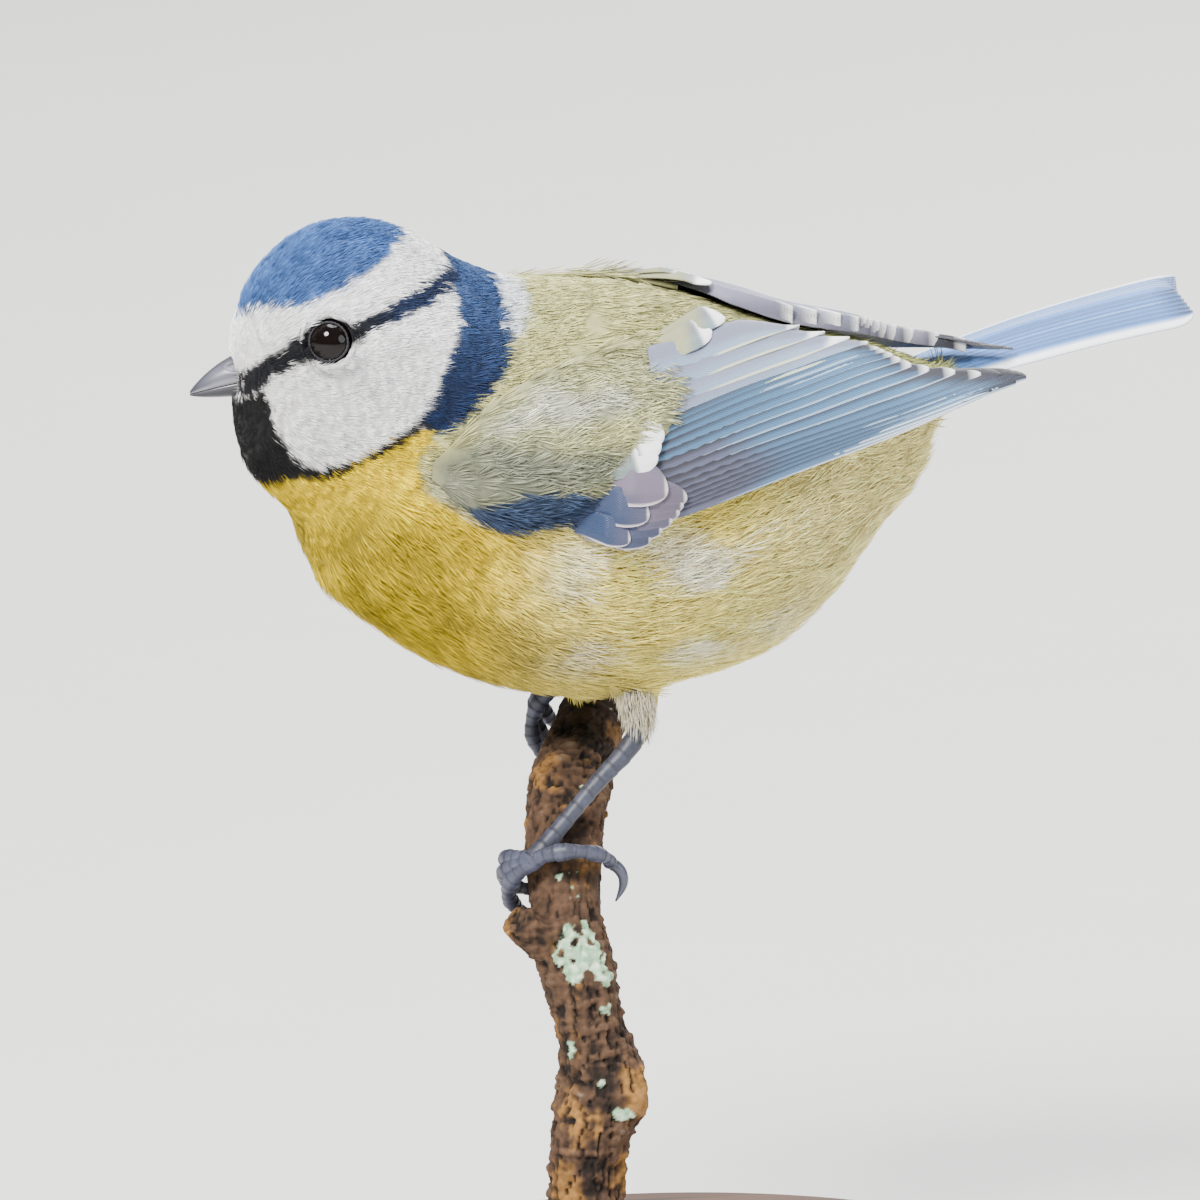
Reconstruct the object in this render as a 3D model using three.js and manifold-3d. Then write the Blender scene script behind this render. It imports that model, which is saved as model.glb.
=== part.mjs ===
// Blue tit, a still life-size model perched on a short length of branch, on a display stand.
// Millimetres, +Z up. The bird faces -X and its left side is -Y. The origin is the centre of the
// underside of the stand's base.
import * as THREE from "three";
import { mergeVertices } from "three/addons/utils/BufferGeometryUtils.js";
import Module from "manifold-3d";

const wasm = await Module();
wasm.setup();

// Driving dimensions
const GAP = 0.35; // air between neighbouring solids
const ROLL = THREE.MathUtils.degToRad(13); // the trunk leans toward its left side
const AXIS_Z = 94.5; // height of the line along X that the trunk leans about
const BLEND = 1.6; // softness of the joins between the trunk's rounded masses
const HEAD_MID_Y = -3;

const CELL = { head: 2.05, neck: 2.5, torso: 3.15 };

const EYE = { at: [-43.13, -14.4, 114.56], out: [-0.316, -0.935, 0.162], radius: 2.7, sink: 1.75 };
const LID = { radius: 2.55, tube: 0.5 };
const NOSTRIL = { at: [-51.7, 1.75, 110.25], half: [0.55, 0.4, 0.32] };

const BILL = {
  tip: [-56.4, 107.0],
  depth: 5.0,
  width: 4.6,
  gape: [-49.2, 108.7],
  mouthGap: 0.3,
};

const NECK_PLANES = {
  front: { at: [-31, 0, 107], normal: [0.83, 0, -0.56] },
  back: { at: [-15.4, 0, 118.5], normal: [0.773, 0, -0.635] },
};

const WING_TWIST = 10; // degrees that the right wing's tip crosses toward the left one
const VANE = { thick: 0.55, segments: 5, tilt: 0.1 };
const INNER_EDGE = 8; // degrees from the back that the innermost vanes stop at

const STAND = { radius: 42, thick: 6, rodRadius: 2.6, rodAt: [-15.6, -15.9], rodTop: 15.4 };

const part = new THREE.Group();
const vec = (x, y, z) => new THREE.Vector3(x, y, z);
const lerp = THREE.MathUtils.lerp;
const clamp = THREE.MathUtils.clamp;

// Reads a smooth run of values at u from 0 to 1.
function along(values, u) {
  const last = values.length - 1;
  const s = clamp(u, 0, 1) * last;
  const i = Math.min(Math.floor(s), last - 1);
  const t = s - i;
  const p1 = values[i];
  const p2 = values[i + 1];
  const p0 = i > 0 ? values[i - 1] : 2 * p1 - p2;
  const p3 = i + 2 <= last ? values[i + 2] : 2 * p2 - p1;
  const a = 2 * p1;
  const b = p2 - p0;
  const c = 2 * p0 - 5 * p1 + 4 * p2 - p3;
  const d = -p0 + 3 * p1 - 3 * p2 + p3;
  return 0.5 * (a + b * t + c * t * t + d * t * t * t);
}

// Closed geometry to solid and back. Points closer than the tolerance become one.
function solid(geometry, tolerance = 1e-4) {
  const bare = new THREE.BufferGeometry();
  bare.setAttribute("position", geometry.getAttribute("position"));
  if (geometry.index) bare.setIndex(geometry.index);
  const merged = mergeVertices(bare, tolerance);
  return new wasm.Manifold(
    new wasm.Mesh({
      numProp: 3,
      vertProperties: merged.attributes.position.array,
      triVerts: new Uint32Array(merged.index.array),
    }),
  );
}

function largest(body) {
  const pieces = body.decompose();
  pieces.sort((a, b) => b.volume() - a.volume());
  const mesh = pieces[0].getMesh();
  const count = mesh.vertProperties.length / mesh.numProp;
  const position = new Float32Array(count * 3);
  for (let i = 0; i < count; i++) {
    for (let j = 0; j < 3; j++) position[3 * i + j] = mesh.vertProperties[mesh.numProp * i + j];
  }
  const geometry = new THREE.BufferGeometry();
  geometry.setAttribute("position", new THREE.BufferAttribute(position, 3));
  geometry.setIndex(new THREE.BufferAttribute(new Uint32Array(mesh.triVerts), 1));
  return geometry;
}

// Closes up edges shorter than a limit, and the slivers and folded faces that they leave.
function closeShortEdges(geometry, limit) {
  const p = geometry.attributes.position;
  const index = geometry.index.array;
  const point = (i) => vec().fromBufferAttribute(p, i);
  const parent = Array.from({ length: p.count }, (_, i) => i);
  const top = (i) => {
    let j = i;
    while (parent[j] !== j) j = parent[j];
    return j;
  };
  for (let i = 0; i < index.length; i += 3) {
    for (let j = 0; j < 3; j++) {
      const a = index[i + j];
      const b = index[i + ((j + 1) % 3)];
      if (point(a).distanceTo(point(b)) < limit) parent[top(Math.max(a, b))] = top(Math.min(a, b));
    }
  }
  const kept = new Map();
  for (let i = 0; i < index.length; i += 3) {
    const face = [top(index[i]), top(index[i + 1]), top(index[i + 2])];
    if (face[0] === face[1] || face[1] === face[2] || face[0] === face[2]) continue;
    const key = [...face].sort((a, b) => a - b).join("_");
    if (kept.has(key)) kept.delete(key);
    else kept.set(key, face);
  }
  const used = new Map();
  const seats = new Set();
  const position = [];
  const faces = [];
  for (const face of kept.values()) {
    for (const i of face) {
      if (!used.has(i)) {
        used.set(i, position.length / 3);
        const q = point(i);
        const seat = () => [q.x, q.y, q.z].map((v) => Math.round(v / 0.0015)).join("_");
        while (seats.has(seat())) q.x += 0.003;
        seats.add(seat());
        position.push(q.x, q.y, q.z);
      }
      faces.push(used.get(i));
    }
  }
  const made = new THREE.BufferGeometry();
  made.setAttribute("position", new THREE.Float32BufferAttribute(position, 3));
  made.setIndex(faces);
  return made;
}

function geometryOf(body) {
  const closed = closeShortEdges(largest(body), 0.006);
  return closeShortEdges(largest(solid(closed)), 0.003);
}

function join(list) {
  let whole = list[0];
  for (const next of list.slice(1)) whole = whole.add(next);
  return whole;
}

function place(geometry, position, quaternion = new THREE.Quaternion(), scale = vec(1, 1, 1)) {
  return geometry.clone().applyMatrix4(new THREE.Matrix4().compose(position, quaternion, scale));
}

function toward(direction) {
  return new THREE.Quaternion().setFromUnitVectors(vec(0, 0, 1), direction.clone().normalize());
}

// The solid on the near side of a plane, kept back from it by a gap.
function halfSpace(plane, side, gap) {
  const normal = vec(...plane.normal).normalize().multiplyScalar(side);
  const centre = vec(...plane.at).addScaledVector(normal, -100 - gap);
  return solid(place(new THREE.BoxGeometry(200, 200, 200), centre, toward(normal)));
}

// A closed body through a row of rings that all have the same number of points. The end caps are
// strips, so a thin ring that curves round the trunk is closed without a chord across it.
function loft(rings) {
  const n = rings[0].length;
  const position = [];
  for (const ring of rings) for (const p of ring) position.push(p.x, p.y, p.z);
  const index = [];
  for (let i = 0; i + 1 < rings.length; i++) {
    for (let j = 0; j < n; j++) {
      const a = i * n + j;
      const b = i * n + ((j + 1) % n);
      index.push(a, b, a + n, b, b + n, a + n);
    }
  }
  const end = (rings.length - 1) * n;
  const cap = (a, b, c) => index.push(a, c, b, end + a, end + b, end + c);
  for (let low = 0, high = n - 1; high - low > 1; low++, high--) {
    cap(low, low + 1, high);
    if (high - low > 2) cap(low + 1, high - 1, high);
  }
  const geometry = new THREE.BufferGeometry();
  geometry.setAttribute("position", new THREE.Float32BufferAttribute(position, 3));
  geometry.setIndex(index);
  return outward(geometry);
}

// Turns a closed geometry's faces outward.
function outward(geometry) {
  const p = geometry.attributes.position;
  const index = geometry.index.array;
  let volume = 0;
  for (let i = 0; i < index.length; i += 3) {
    const a = vec().fromBufferAttribute(p, index[i]);
    const b = vec().fromBufferAttribute(p, index[i + 1]);
    const c = vec().fromBufferAttribute(p, index[i + 2]);
    volume += a.dot(b.cross(c));
  }
  if (volume < 0) {
    for (let i = 0; i < index.length; i += 3) {
      const swap = index[i + 1];
      index[i + 1] = index[i + 2];
      index[i + 2] = swap;
    }
  }
  return geometry;
}

// A round bar along a curve, its radius read along its length.
function bar(points, radii, sides, rings, flat = 1) {
  const curve = new THREE.CatmullRomCurve3(points, false, "centripetal");
  const frames = curve.computeFrenetFrames(rings - 1, false);
  const made = [];
  for (let i = 0; i < rings; i++) {
    const u = i / (rings - 1);
    const centre = curve.getPointAt(u);
    const radius = typeof radii === "function" ? radii(u) : along(radii, u);
    const ring = [];
    for (let j = 0; j < sides; j++) {
      const turn = (2 * Math.PI * j) / sides;
      ring.push(
        centre
          .clone()
          .addScaledVector(frames.normals[i], radius * Math.cos(turn))
          .addScaledVector(frames.binormals[i], radius * flat * Math.sin(turn)),
      );
    }
    made.push(ring);
  }
  return loft(made);
}

// The trunk's rounded masses: centre, half sizes, rear-up pitch in degrees, leaning with the trunk or not.
const MASSES = {
  head: { at: [-38.7, -3, 112.2], half: [13.4, 12.2, 13.9], pitch: 0, leans: false },
  throat: { at: [-42.6, -3, 102.7], half: [8.8, 8.6, 8.8], pitch: 0, leans: false },
  neck: { at: [-30.1, -2.5, 107], half: [14, 13.5, 13.5], pitch: 0, leans: false },
  chest: { at: [-35.2, -1, 93.3], half: [9.5, 11, 10.5], pitch: 0, leans: false },
  mantle: { at: [-17.5, 0, 105.2], half: [20, 15.5, 12.8], pitch: -4, leans: true },
  torso: { at: [-11.3, 0, 93.9], half: [31, 19.5, 23.6], pitch: 0, leans: true },
  rump: { at: [8, 0, 101.5], half: [15, 11, 9.5], pitch: 14, leans: true },
  vent: { at: [14, 0, 97.7], half: [11, 8.5, 9.8], pitch: 22, leans: true },
  coverts: { at: [17.6, 0.5, 102.6], half: [11, 6.5, 4.2], pitch: 18, leans: true },
};
// The hollow form that the folded wings lie on runs back over the rump.
const WING_BED = { at: [20, -1.5, 97.9], half: [24, 9.2, 9.7], pitch: 10, leans: true };

const rollOut = new THREE.Matrix4()
  .makeTranslation(0, 0, AXIS_Z)
  .multiply(new THREE.Matrix4().makeRotationX(ROLL))
  .multiply(new THREE.Matrix4().makeTranslation(0, 0, -AXIS_Z));
const rollIn = rollOut.clone().invert();

function massDistance(mass, p) {
  const t = THREE.MathUtils.degToRad(mass.pitch);
  const dx = p.x - mass.at[0];
  const dy = p.y - mass.at[1];
  const dz = p.z - mass.at[2];
  const lx = dx * Math.cos(t) + dz * Math.sin(t);
  const lz = -dx * Math.sin(t) + dz * Math.cos(t);
  const [a, b, c] = mass.half;
  const k0 = Math.hypot(lx / a, dy / b, lz / c) + 1e-9;
  const k1 = Math.hypot(lx / (a * a), dy / (b * b), lz / (c * c)) + 1e-9;
  return (k0 * (k0 - 1)) / k1;
}

function blended(masses, p) {
  const inner = p.clone().applyMatrix4(rollIn);
  let sum = 0;
  for (const mass of masses) {
    const d = massDistance(mass, mass.leans ? inner : p);
    sum += Math.exp(-clamp(d, -30, 60) / BLEND);
  }
  return -BLEND * Math.log(sum + 1e-300);
}

const trunkMasses = Object.values(MASSES);
const trunk = (p) => blended(trunkMasses, p);
const wingBed = (p) => blended([...trunkMasses, WING_BED], p);

function gradient(field, p) {
  const e = 0.02;
  return vec(
    field(vec(p.x + e, p.y, p.z)) - field(vec(p.x - e, p.y, p.z)),
    field(vec(p.x, p.y + e, p.z)) - field(vec(p.x, p.y - e, p.z)),
    field(vec(p.x, p.y, p.z + e)) - field(vec(p.x, p.y, p.z - e)),
  ).divideScalar(2 * e);
}

// A closed mesh of the surface where a field is zero, of even quads split in two.
function skinOf(field, low, high, cell) {
  const n = [0, 1, 2].map((a) => Math.ceil((high[a] - low[a]) / cell) + 1);
  const at = (i, j, k) => vec(low[0] + i * cell, low[1] + j * cell, low[2] + k * cell);
  const id = (i, j, k) => i + n[0] * (j + n[1] * k);
  const value = new Float64Array(n[0] * n[1] * n[2]);
  for (let k = 0; k < n[2]; k++) {
    for (let j = 0; j < n[1]; j++) {
      for (let i = 0; i < n[0]; i++) value[id(i, j, k)] = field(at(i, j, k));
    }
  }
  const vertexOf = new Map();
  const position = [];
  for (let k = 0; k + 1 < n[2]; k++) {
    for (let j = 0; j + 1 < n[1]; j++) {
      for (let i = 0; i + 1 < n[0]; i++) {
        const sum = vec(0, 0, 0);
        let hits = 0;
        for (let c = 0; c < 8; c++) {
          const a = [c & 1, (c >> 1) & 1, (c >> 2) & 1];
          for (let d = 0; d < 3; d++) {
            if (a[d]) continue;
            const b = [...a];
            b[d] = 1;
            const va = value[id(i + a[0], j + a[1], k + a[2])];
            const vb = value[id(i + b[0], j + b[1], k + b[2])];
            if (va < 0 === vb < 0) continue;
            const from = at(i + a[0], j + a[1], k + a[2]);
            sum.add(from.lerp(at(i + b[0], j + b[1], k + b[2]), va / (va - vb)));
            hits++;
          }
        }
        if (!hits) continue;
        const p = sum.divideScalar(hits);
        for (let step = 0; step < 3; step++) {
          const g = gradient(field, p);
          p.addScaledVector(g, -field(p) / Math.max(g.lengthSq(), 0.2));
        }
        vertexOf.set(id(i, j, k), position.length / 3);
        position.push(p.x, p.y, p.z);
      }
    }
  }
  const index = [];
  const point = (v) => vec(position[3 * v], position[3 * v + 1], position[3 * v + 2]);
  for (let k = 1; k + 1 < n[2]; k++) {
    for (let j = 1; j + 1 < n[1]; j++) {
      for (let i = 1; i + 1 < n[0]; i++) {
        for (let d = 0; d < 3; d++) {
          const step = [0, 0, 0];
          step[d] = 1;
          const inside = value[id(i, j, k)] < 0;
          if (inside === value[id(i + step[0], j + step[1], k + step[2])] < 0) continue;
          const u = [0, 0, 0];
          const w = [0, 0, 0];
          u[(d + 1) % 3] = 1;
          w[(d + 2) % 3] = 1;
          const corner = (s, t) =>
            vertexOf.get(id(i - s * u[0] - t * w[0], j - s * u[1] - t * w[1], k - s * u[2] - t * w[2]));
          const quad = [corner(1, 1), corner(0, 1), corner(0, 0), corner(1, 0)];
          if (!inside) quad.reverse();
          const [a, b, c, e] = quad;
          if (point(a).distanceTo(point(c)) < point(b).distanceTo(point(e))) {
            index.push(a, b, c, a, c, e);
          } else {
            index.push(a, b, e, b, c, e);
          }
        }
      }
    }
  }
  const geometry = new THREE.BufferGeometry();
  geometry.setAttribute("position", new THREE.Float32BufferAttribute(position, 3));
  geometry.setIndex(index);
  return outward(geometry);
}

// A flesh solid is only meshed inside a box, with the field closed off at the box's walls.
function fleshIn(field, low, high, cell) {
  const closed = (p) =>
    Math.max(
      field(p),
      low[0] + cell - p.x,
      p.x - high[0] + cell,
      low[1] + cell - p.y,
      p.y - high[1] + cell,
      low[2] + cell - p.z,
      p.z - high[2] + cell,
    );
  return solid(skinOf(closed, low, high, cell));
}

// Materials
const paint = (color, roughness, metalness = 0) =>
  new THREE.MeshStandardMaterial({ color, roughness, metalness });
const LOOKS = {
  headBlue: paint(0x5b82b8, 0.8),
  neckNavy: paint(0x27466f, 0.85),
  bodyYellow: paint(0xc9b04e, 0.9),
  wingBlue: paint(0x5f7f9c, 0.65),
  tailBlue: paint(0x6d92c4, 0.6),
  bill: paint(0x4b4f57, 0.35),
  eye: paint(0x0c0a0a, 0.05),
  leg: paint(0x5b6178, 0.6),
  claw: paint(0x3a3d48, 0.4),
  bark: paint(0x5a4434, 0.95),
  stand: paint(0x3b3733, 0.5),
};

function addNode(name, body, look) {
  const mesh = new THREE.Mesh(body instanceof THREE.BufferGeometry ? body : geometryOf(body), look);
  mesh.name = name;
  part.add(mesh);
  return mesh;
}

// Perch: a short length of knotted branch that rises to the far side.
const PERCH_PATH = [
  vec(-15.6, -15.9, 16.0),
  vec(-14.5, -15.0, 27.0),
  vec(-13.3, -14.5, 31.5),
  vec(-15.0, -13.3, 40.4),
  vec(-16.6, -11.6, 48.6),
  vec(-16.6, -9.6, 53.2),
  vec(-15.4, -4.0, 60.0),
  vec(-12.9, 3.0, 64.0),
  vec(-10.4, 8.6, 66.9),
  vec(-6.6, 16.0, 70.6),
];
const perchCurve = new THREE.CatmullRomCurve3(PERCH_PATH, false, "centripetal");
const perchLength = perchCurve.getLength();
const PERCH_SWELL = [3.6, 4.4, 4.9, 4.0, 4.3, 4.0, 4.4, 4.5, 4.1, 3.9, 4.0];

function perchBody(extra, sides, rings, bumps) {
  const frames = perchCurve.computeFrenetFrames(rings - 1, false);
  const made = [];
  for (let i = 0; i < rings; i++) {
    const u = i / (rings - 1);
    const centre = perchCurve.getPointAt(u);
    const ring = [];
    for (let j = 0; j < sides; j++) {
      const turn = (2 * Math.PI * j) / sides;
      const quiet = clamp(Math.min(Math.abs(u - 0.545), Math.abs(u - 0.86)) / 0.1 - 0.55, 0, 1);
      const rough = bumps * quiet * (Math.sin(5 * turn + 17 * u) * 0.2 + Math.sin(2 * turn - 31 * u) * 0.25);
      const radius = along(PERCH_SWELL, u) + rough + extra;
      ring.push(
        centre
          .clone()
          .addScaledVector(frames.normals[i], radius * Math.cos(turn))
          .addScaledVector(frames.binormals[i], radius * Math.sin(turn)),
      );
    }
    made.push(ring);
  }
  return loft(made);
}

// A broken side shoot stands out on the branch's left, and a healed knot lower on its right.
const STUB = { path: [vec(-16.5, -12, 46.5), vec(-20.4, -13.2, 48.2), vec(-22.9, -14, 50.2)], radii: [3, 2.6, 2.1] };
const KNOT = { at: [-11.0, -17.0, 30.2], half: [2.3, 2.3, 2.9] };
const stub = solid(bar(STUB.path, STUB.radii, 9, 5));
const knot = solid(place(new THREE.SphereGeometry(1, 10, 7), vec(...KNOT.at), undefined, vec(...KNOT.half)));
const perch = join([solid(perchBody(0, 12, 32, 1)), stub, knot]);
const perchRoom = solid(perchBody(0.45, 12, 32, 1));

// Trunk: head, neck and torso, meshed at their own fineness and parted by two planes.
const torsoRoom = fleshIn((p) => trunk(p) - GAP, [-52, -30, 62], [34, 32, 126], 2.4);
const headRoom = fleshIn((p) => trunk(p) - GAP, [-60, -22, 90], [-24, 16, 132], 1.45);

const eyes = [-1, 1].map((side) => {
  const at = vec(EYE.at[0], EYE.at[1], EYE.at[2]);
  const out = vec(...EYE.out).normalize();
  if (side > 0) {
    at.y = 2 * HEAD_MID_Y - at.y;
    out.y = -out.y;
  }
  return { side, at, out, centre: at.clone().addScaledVector(out, -EYE.sink) };
});

let head = fleshIn(trunk, [-60, -22, 82], [-20, 16, 132], CELL.head).intersect(
  halfSpace(NECK_PLANES.front, 1, GAP / 2),
);
for (const eye of eyes) {
  const ring = new THREE.TorusGeometry(LID.radius, LID.tube, 5, 14);
  head = head.add(solid(place(ring, eye.at.clone().addScaledVector(eye.out, 0.12), toward(eye.out))));
  const socket = new THREE.SphereGeometry(EYE.radius + GAP, 16, 10);
  head = head.subtract(solid(place(socket, eye.centre, toward(eye.out))));
}
addNode("head", head, LOOKS.headBlue);

const neck = fleshIn(trunk, [-52, -22, 78], [-8, 20, 130], CELL.neck)
  .intersect(halfSpace(NECK_PLANES.front, -1, GAP / 2))
  .intersect(halfSpace(NECK_PLANES.back, 1, GAP / 2));
addNode("neck", neck, LOOKS.neckNavy);

let torso = fleshIn(trunk, [-52, -30, 62], [36, 32, 126], CELL.torso).intersect(
  halfSpace(NECK_PLANES.back, -1, GAP / 2),
);
torso = torso.subtract(perchRoom);

// Eyes
for (const eye of eyes) {
  const ball = new THREE.Mesh(new THREE.SphereGeometry(EYE.radius, 14, 10), LOOKS.eye);
  ball.name = eye.side < 0 ? "eye_left" : "eye_right";
  ball.position.copy(eye.centre);
  ball.quaternion.copy(toward(eye.out));
  part.add(ball);
}

// Bill: two halves parted by the mouth line, seated against the face.
function billHalf(top) {
  const rings = [];
  const sides = 12;
  const count = 9;
  for (let i = 0; i < count; i++) {
    const u = i / (count - 1);
    const x = lerp(BILL.tip[0], BILL.gape[0], u);
    const mouth = lerp(BILL.tip[1], BILL.gape[1], u) + 0.25 * Math.sin(Math.PI * u);
    const full = Math.sin((Math.PI / 2) * Math.min(1, 0.06 + u) ** 0.75);
    const height = (top ? 0.6 : 0.4) * BILL.depth * full ** (top ? 1.0 : 1.1);
    const half = (BILL.width / 2) * full ** 1.15;
    const ring = [];
    for (let j = 0; j < sides; j++) {
      const turn = (Math.PI * j) / (sides - 1);
      const lift = Math.sin(turn) ** 0.8 * height;
      const z = top ? mouth + BILL.mouthGap / 2 + lift : mouth - BILL.mouthGap / 2 - lift;
      ring.push(vec(x, HEAD_MID_Y + half * Math.cos(turn), z));
    }
    rings.push(ring);
  }
  return solid(loft(rings)).subtract(headRoom);
}
let billTop = billHalf(true);
for (const side of [-1, 1]) {
  const at = vec(NOSTRIL.at[0], HEAD_MID_Y + side * NOSTRIL.at[1], NOSTRIL.at[2]);
  const pit = place(new THREE.SphereGeometry(1, 8, 6), at, undefined, vec(...NOSTRIL.half));
  billTop = billTop.subtract(solid(pit));
}
addNode("bill_upper", billTop, LOOKS.bill);
addNode("bill_lower", billHalf(false), LOOKS.bill);

// Wings: vanes laid over the bed, addressed by length x and angle from the back.
function bedRadius(x, degrees) {
  const turn = THREE.MathUtils.degToRad(degrees);
  let r = 34;
  for (let i = 0; i < 60; i++) {
    const p = vec(x, -Math.sin(turn) * r, AXIS_Z + Math.cos(turn) * r).applyMatrix4(rollOut);
    const d = wingBed(p);
    r -= 0.85 * d;
    if (Math.abs(d) < 1e-3) break;
  }
  return r;
}

// side -1 is the left wing; the right one is its mirror with its tip crossed over.
function onBed(side, x, degrees, lift) {
  let turn = degrees;
  if (side > 0) turn = -degrees + WING_TWIST * clamp((x + 28) / 62, 0, 1) ** 1.5;
  const r = bedRadius(x, turn) + lift;
  const t = THREE.MathUtils.degToRad(turn);
  return vec(x, -Math.sin(t) * r, AXIS_Z + Math.cos(t) * r);
}

// A feather from its root, sunk under its neighbours, along its outer edge to its tip.
function vane(side, spec) {
  const rings = [];
  const slope = (spec.tip[1] - spec.root[1]) / (spec.tip[0] - spec.root[0]);
  const start = -spec.sink / (spec.tip[0] - spec.root[0]);
  for (let i = 0; i <= VANE.segments; i++) {
    const u = i / VANE.segments;
    const s = lerp(start, 1, 1 - (1 - u) ** 1.25);
    const x = lerp(spec.root[0], spec.tip[0], s);
    const bow = s > 0 ? spec.bow * Math.sin(Math.PI * s) : 0.5 * slope * (spec.root[0] - x);
    const edge = lerp(spec.root[1], spec.tip[1], s) + bow;
    const round = s < 0.65 ? 1 : Math.sqrt(Math.max(0, 1 - ((s - 0.65) / 0.36) ** 2));
    const width = spec.width * lerp(0.7, 1, clamp(1.4 * u, 0, 1)) * Math.max(0.12, round);
    const lift = lerp(spec.lift[0], spec.lift[1], clamp(s * 1.6, 0, 1));
    const perMm = 57.3 / (bedRadius(x, edge) + lift);
    const inner = Math.max(edge - width * perMm, Math.min(INNER_EDGE, edge - 2));
    const thick = VANE.thick * lerp(1, 0.8, u);
    const low = lift - (VANE.tilt * (edge - inner)) / perMm;
    rings.push([
      onBed(side, x, edge, lift),
      onBed(side, x, edge, lift + thick),
      onBed(side, x, inner, low + thick),
      onBed(side, x, inner, low),
    ]);
  }
  return solid(loft(rings));
}

// The folded arm and the small coverts as one smooth pad.
const PAD = {
  x: [-32, -5.5],
  lower: [60, 73, 84, 88, 84, 78],
  upper: [54, 42, 38, 34, 28, 24],
  top: [1.0, 2.5, 3.0, 2.9, 2.3, 1.1],
  edge: 1.1,
  under: 0.62,
};
function armPad(side) {
  const rings = [];
  const rows = 12;
  const across = 6;
  for (let i = 0; i <= rows; i++) {
    const u = i / rows;
    const x = lerp(PAD.x[0], PAD.x[1], u);
    const lower = along(PAD.lower, u);
    const upper = along(PAD.upper, u);
    const ring = [];
    for (let j = 0; j <= across; j++) {
      const v = j / across;
      const rise = Math.sin(Math.PI * clamp(v, 0.0, 1)) ** 0.6;
      ring.push(onBed(side, x, lerp(lower, upper, v), lerp(PAD.edge, along(PAD.top, u), rise)));
    }
    for (let j = across; j >= 0; j--) ring.push(onBed(side, x, lerp(lower, upper, j / across), PAD.under));
    rings.push(ring);
  }
  return solid(loft(rings));
}

// Each row of feathers runs from the lowest, outermost one up to the innermost one.
const ROWS = {
  flight: {
    count: 14,
    rootX: [-5.3, -5.0, -5.8, -7.9, -7.6, -6.0, -2.5],
    rootAngle: [74.8, 71, 66.2, 60.6, 53.5, 46.5, 29.5],
    tipX: [27.3, 34.3, 30, 22.4, 19.3, 16.8, 9.6],
    tipAngle: [35.6, 23.6, 24, 22, 16.8, 14.2, 9.1],
    width: [3.0, 3.2, 3.4, 3.6, 4.0, 4.6, 5.0],
    rootLift: [0.8, 0.72],
    tipLift: [0.8, 1.7],
    sink: 5,
    bow: [3.6, 1.5],
  },
  greater: {
    count: 8,
    rootX: [-15, -13.5, -11, -7],
    rootAngle: [64, 54, 42, 28],
    tipX: [-8.6, -7.2, -4.6, 1.0],
    tipAngle: [61.5, 52, 39, 16],
    width: [3.6, 4.0, 4.0, 4.0],
    rootLift: [2.0, 0.7],
    tipLift: [1.9, 1.5],
    sink: 2,
    bow: [0, 0],
  },
  primaryCoverts: {
    count: 4,
    rootX: [-18, -18, -18],
    rootAngle: [76, 79, 83],
    tipX: [-5.4, -6.6, -9.2],
    tipAngle: [76, 79, 83],
    width: [3.4, 3.2, 3.0],
    rootLift: [1.4, 1.4],
    tipLift: [1.4, 1.5],
    sink: 2,
    bow: [0.5, 0.5],
  },
  alula: {
    count: 2,
    rootX: [-20, -20],
    rootAngle: [74, 78],
    tipX: [-9.5, -12],
    tipAngle: [77, 82],
    width: [3.4, 3.4],
    rootLift: [1.9, 1.9],
    tipLift: [1.95, 2.0],
    sink: 1,
    bow: [0, 0],
  },
};

function wing(side) {
  const pieces = [armPad(side)];
  for (const row of Object.values(ROWS)) {
    for (let k = 0; k < row.count; k++) {
      const u = k / (row.count - 1);
      pieces.push(
        vane(side, {
          root: [along(row.rootX, u), along(row.rootAngle, u)],
          tip: [along(row.tipX, u), along(row.tipAngle, u)],
          width: along(row.width, u),
          lift: [lerp(...row.rootLift, u), lerp(...row.tipLift, u)],
          sink: row.sink,
          bow: lerp(...row.bow, u),
        }),
      );
    }
  }
  return join(pieces).transform(rollOut.elements);
}
addNode("wing_left", wing(-1), LOOKS.wingBlue);
addNode("wing_right", wing(1), LOOKS.wingBlue);

// Tail: twelve overlapping vanes, the middle pair on top, swung a little to the right.
const TAIL = {
  feathers: 12,
  rootX: 19,
  tipX: 55.2,
  yaw: 0.27,
  rootY: 3.3,
  half: [3.4, 5.2],
  vaneWidth: 4.4,
  thick: 0.6,
  step: 0.11,
};
function tailHeight(x) {
  return 105.9 + 0.205 * (x - 27) - 0.0026 * (x - 27) ** 2;
}
function tail() {
  const pieces = [];
  for (let k = 0; k < TAIL.feathers; k++) {
    const out = (k - (TAIL.feathers - 1) / 2) / ((TAIL.feathers - 1) / 2);
    const rings = [];
    for (let i = 0; i < 6; i++) {
      const s = i < 4 ? i / 4.4 : i === 4 ? 0.97 : 1;
      const x = lerp(TAIL.rootX, TAIL.tipX - 0.9 * (1 - Math.abs(out)), s);
      const mid = TAIL.rootY + TAIL.yaw * (x - TAIL.rootX) + out * lerp(TAIL.half[0], TAIL.half[1], s);
      const half = (TAIL.vaneWidth / 2) * lerp(0.6, 1, Math.min(1, 2 * s)) * (i === 5 ? 0.45 : 1);
      const z = tailHeight(x) - TAIL.step * Math.abs(out) * 6 - 0.05 * k;
      const lean = -0.12 * out;
      rings.push([
        vec(x, mid - half, z - lean * half - TAIL.thick / 2),
        vec(x, mid + half, z + lean * half - TAIL.thick / 2),
        vec(x, mid + half, z + lean * half + TAIL.thick / 2),
        vec(x, mid - half, z - lean * half + TAIL.thick / 2),
      ]);
    }
    pieces.push(solid(loft(rings)));
  }
  return join(pieces).transform(rollOut.elements);
}
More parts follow.
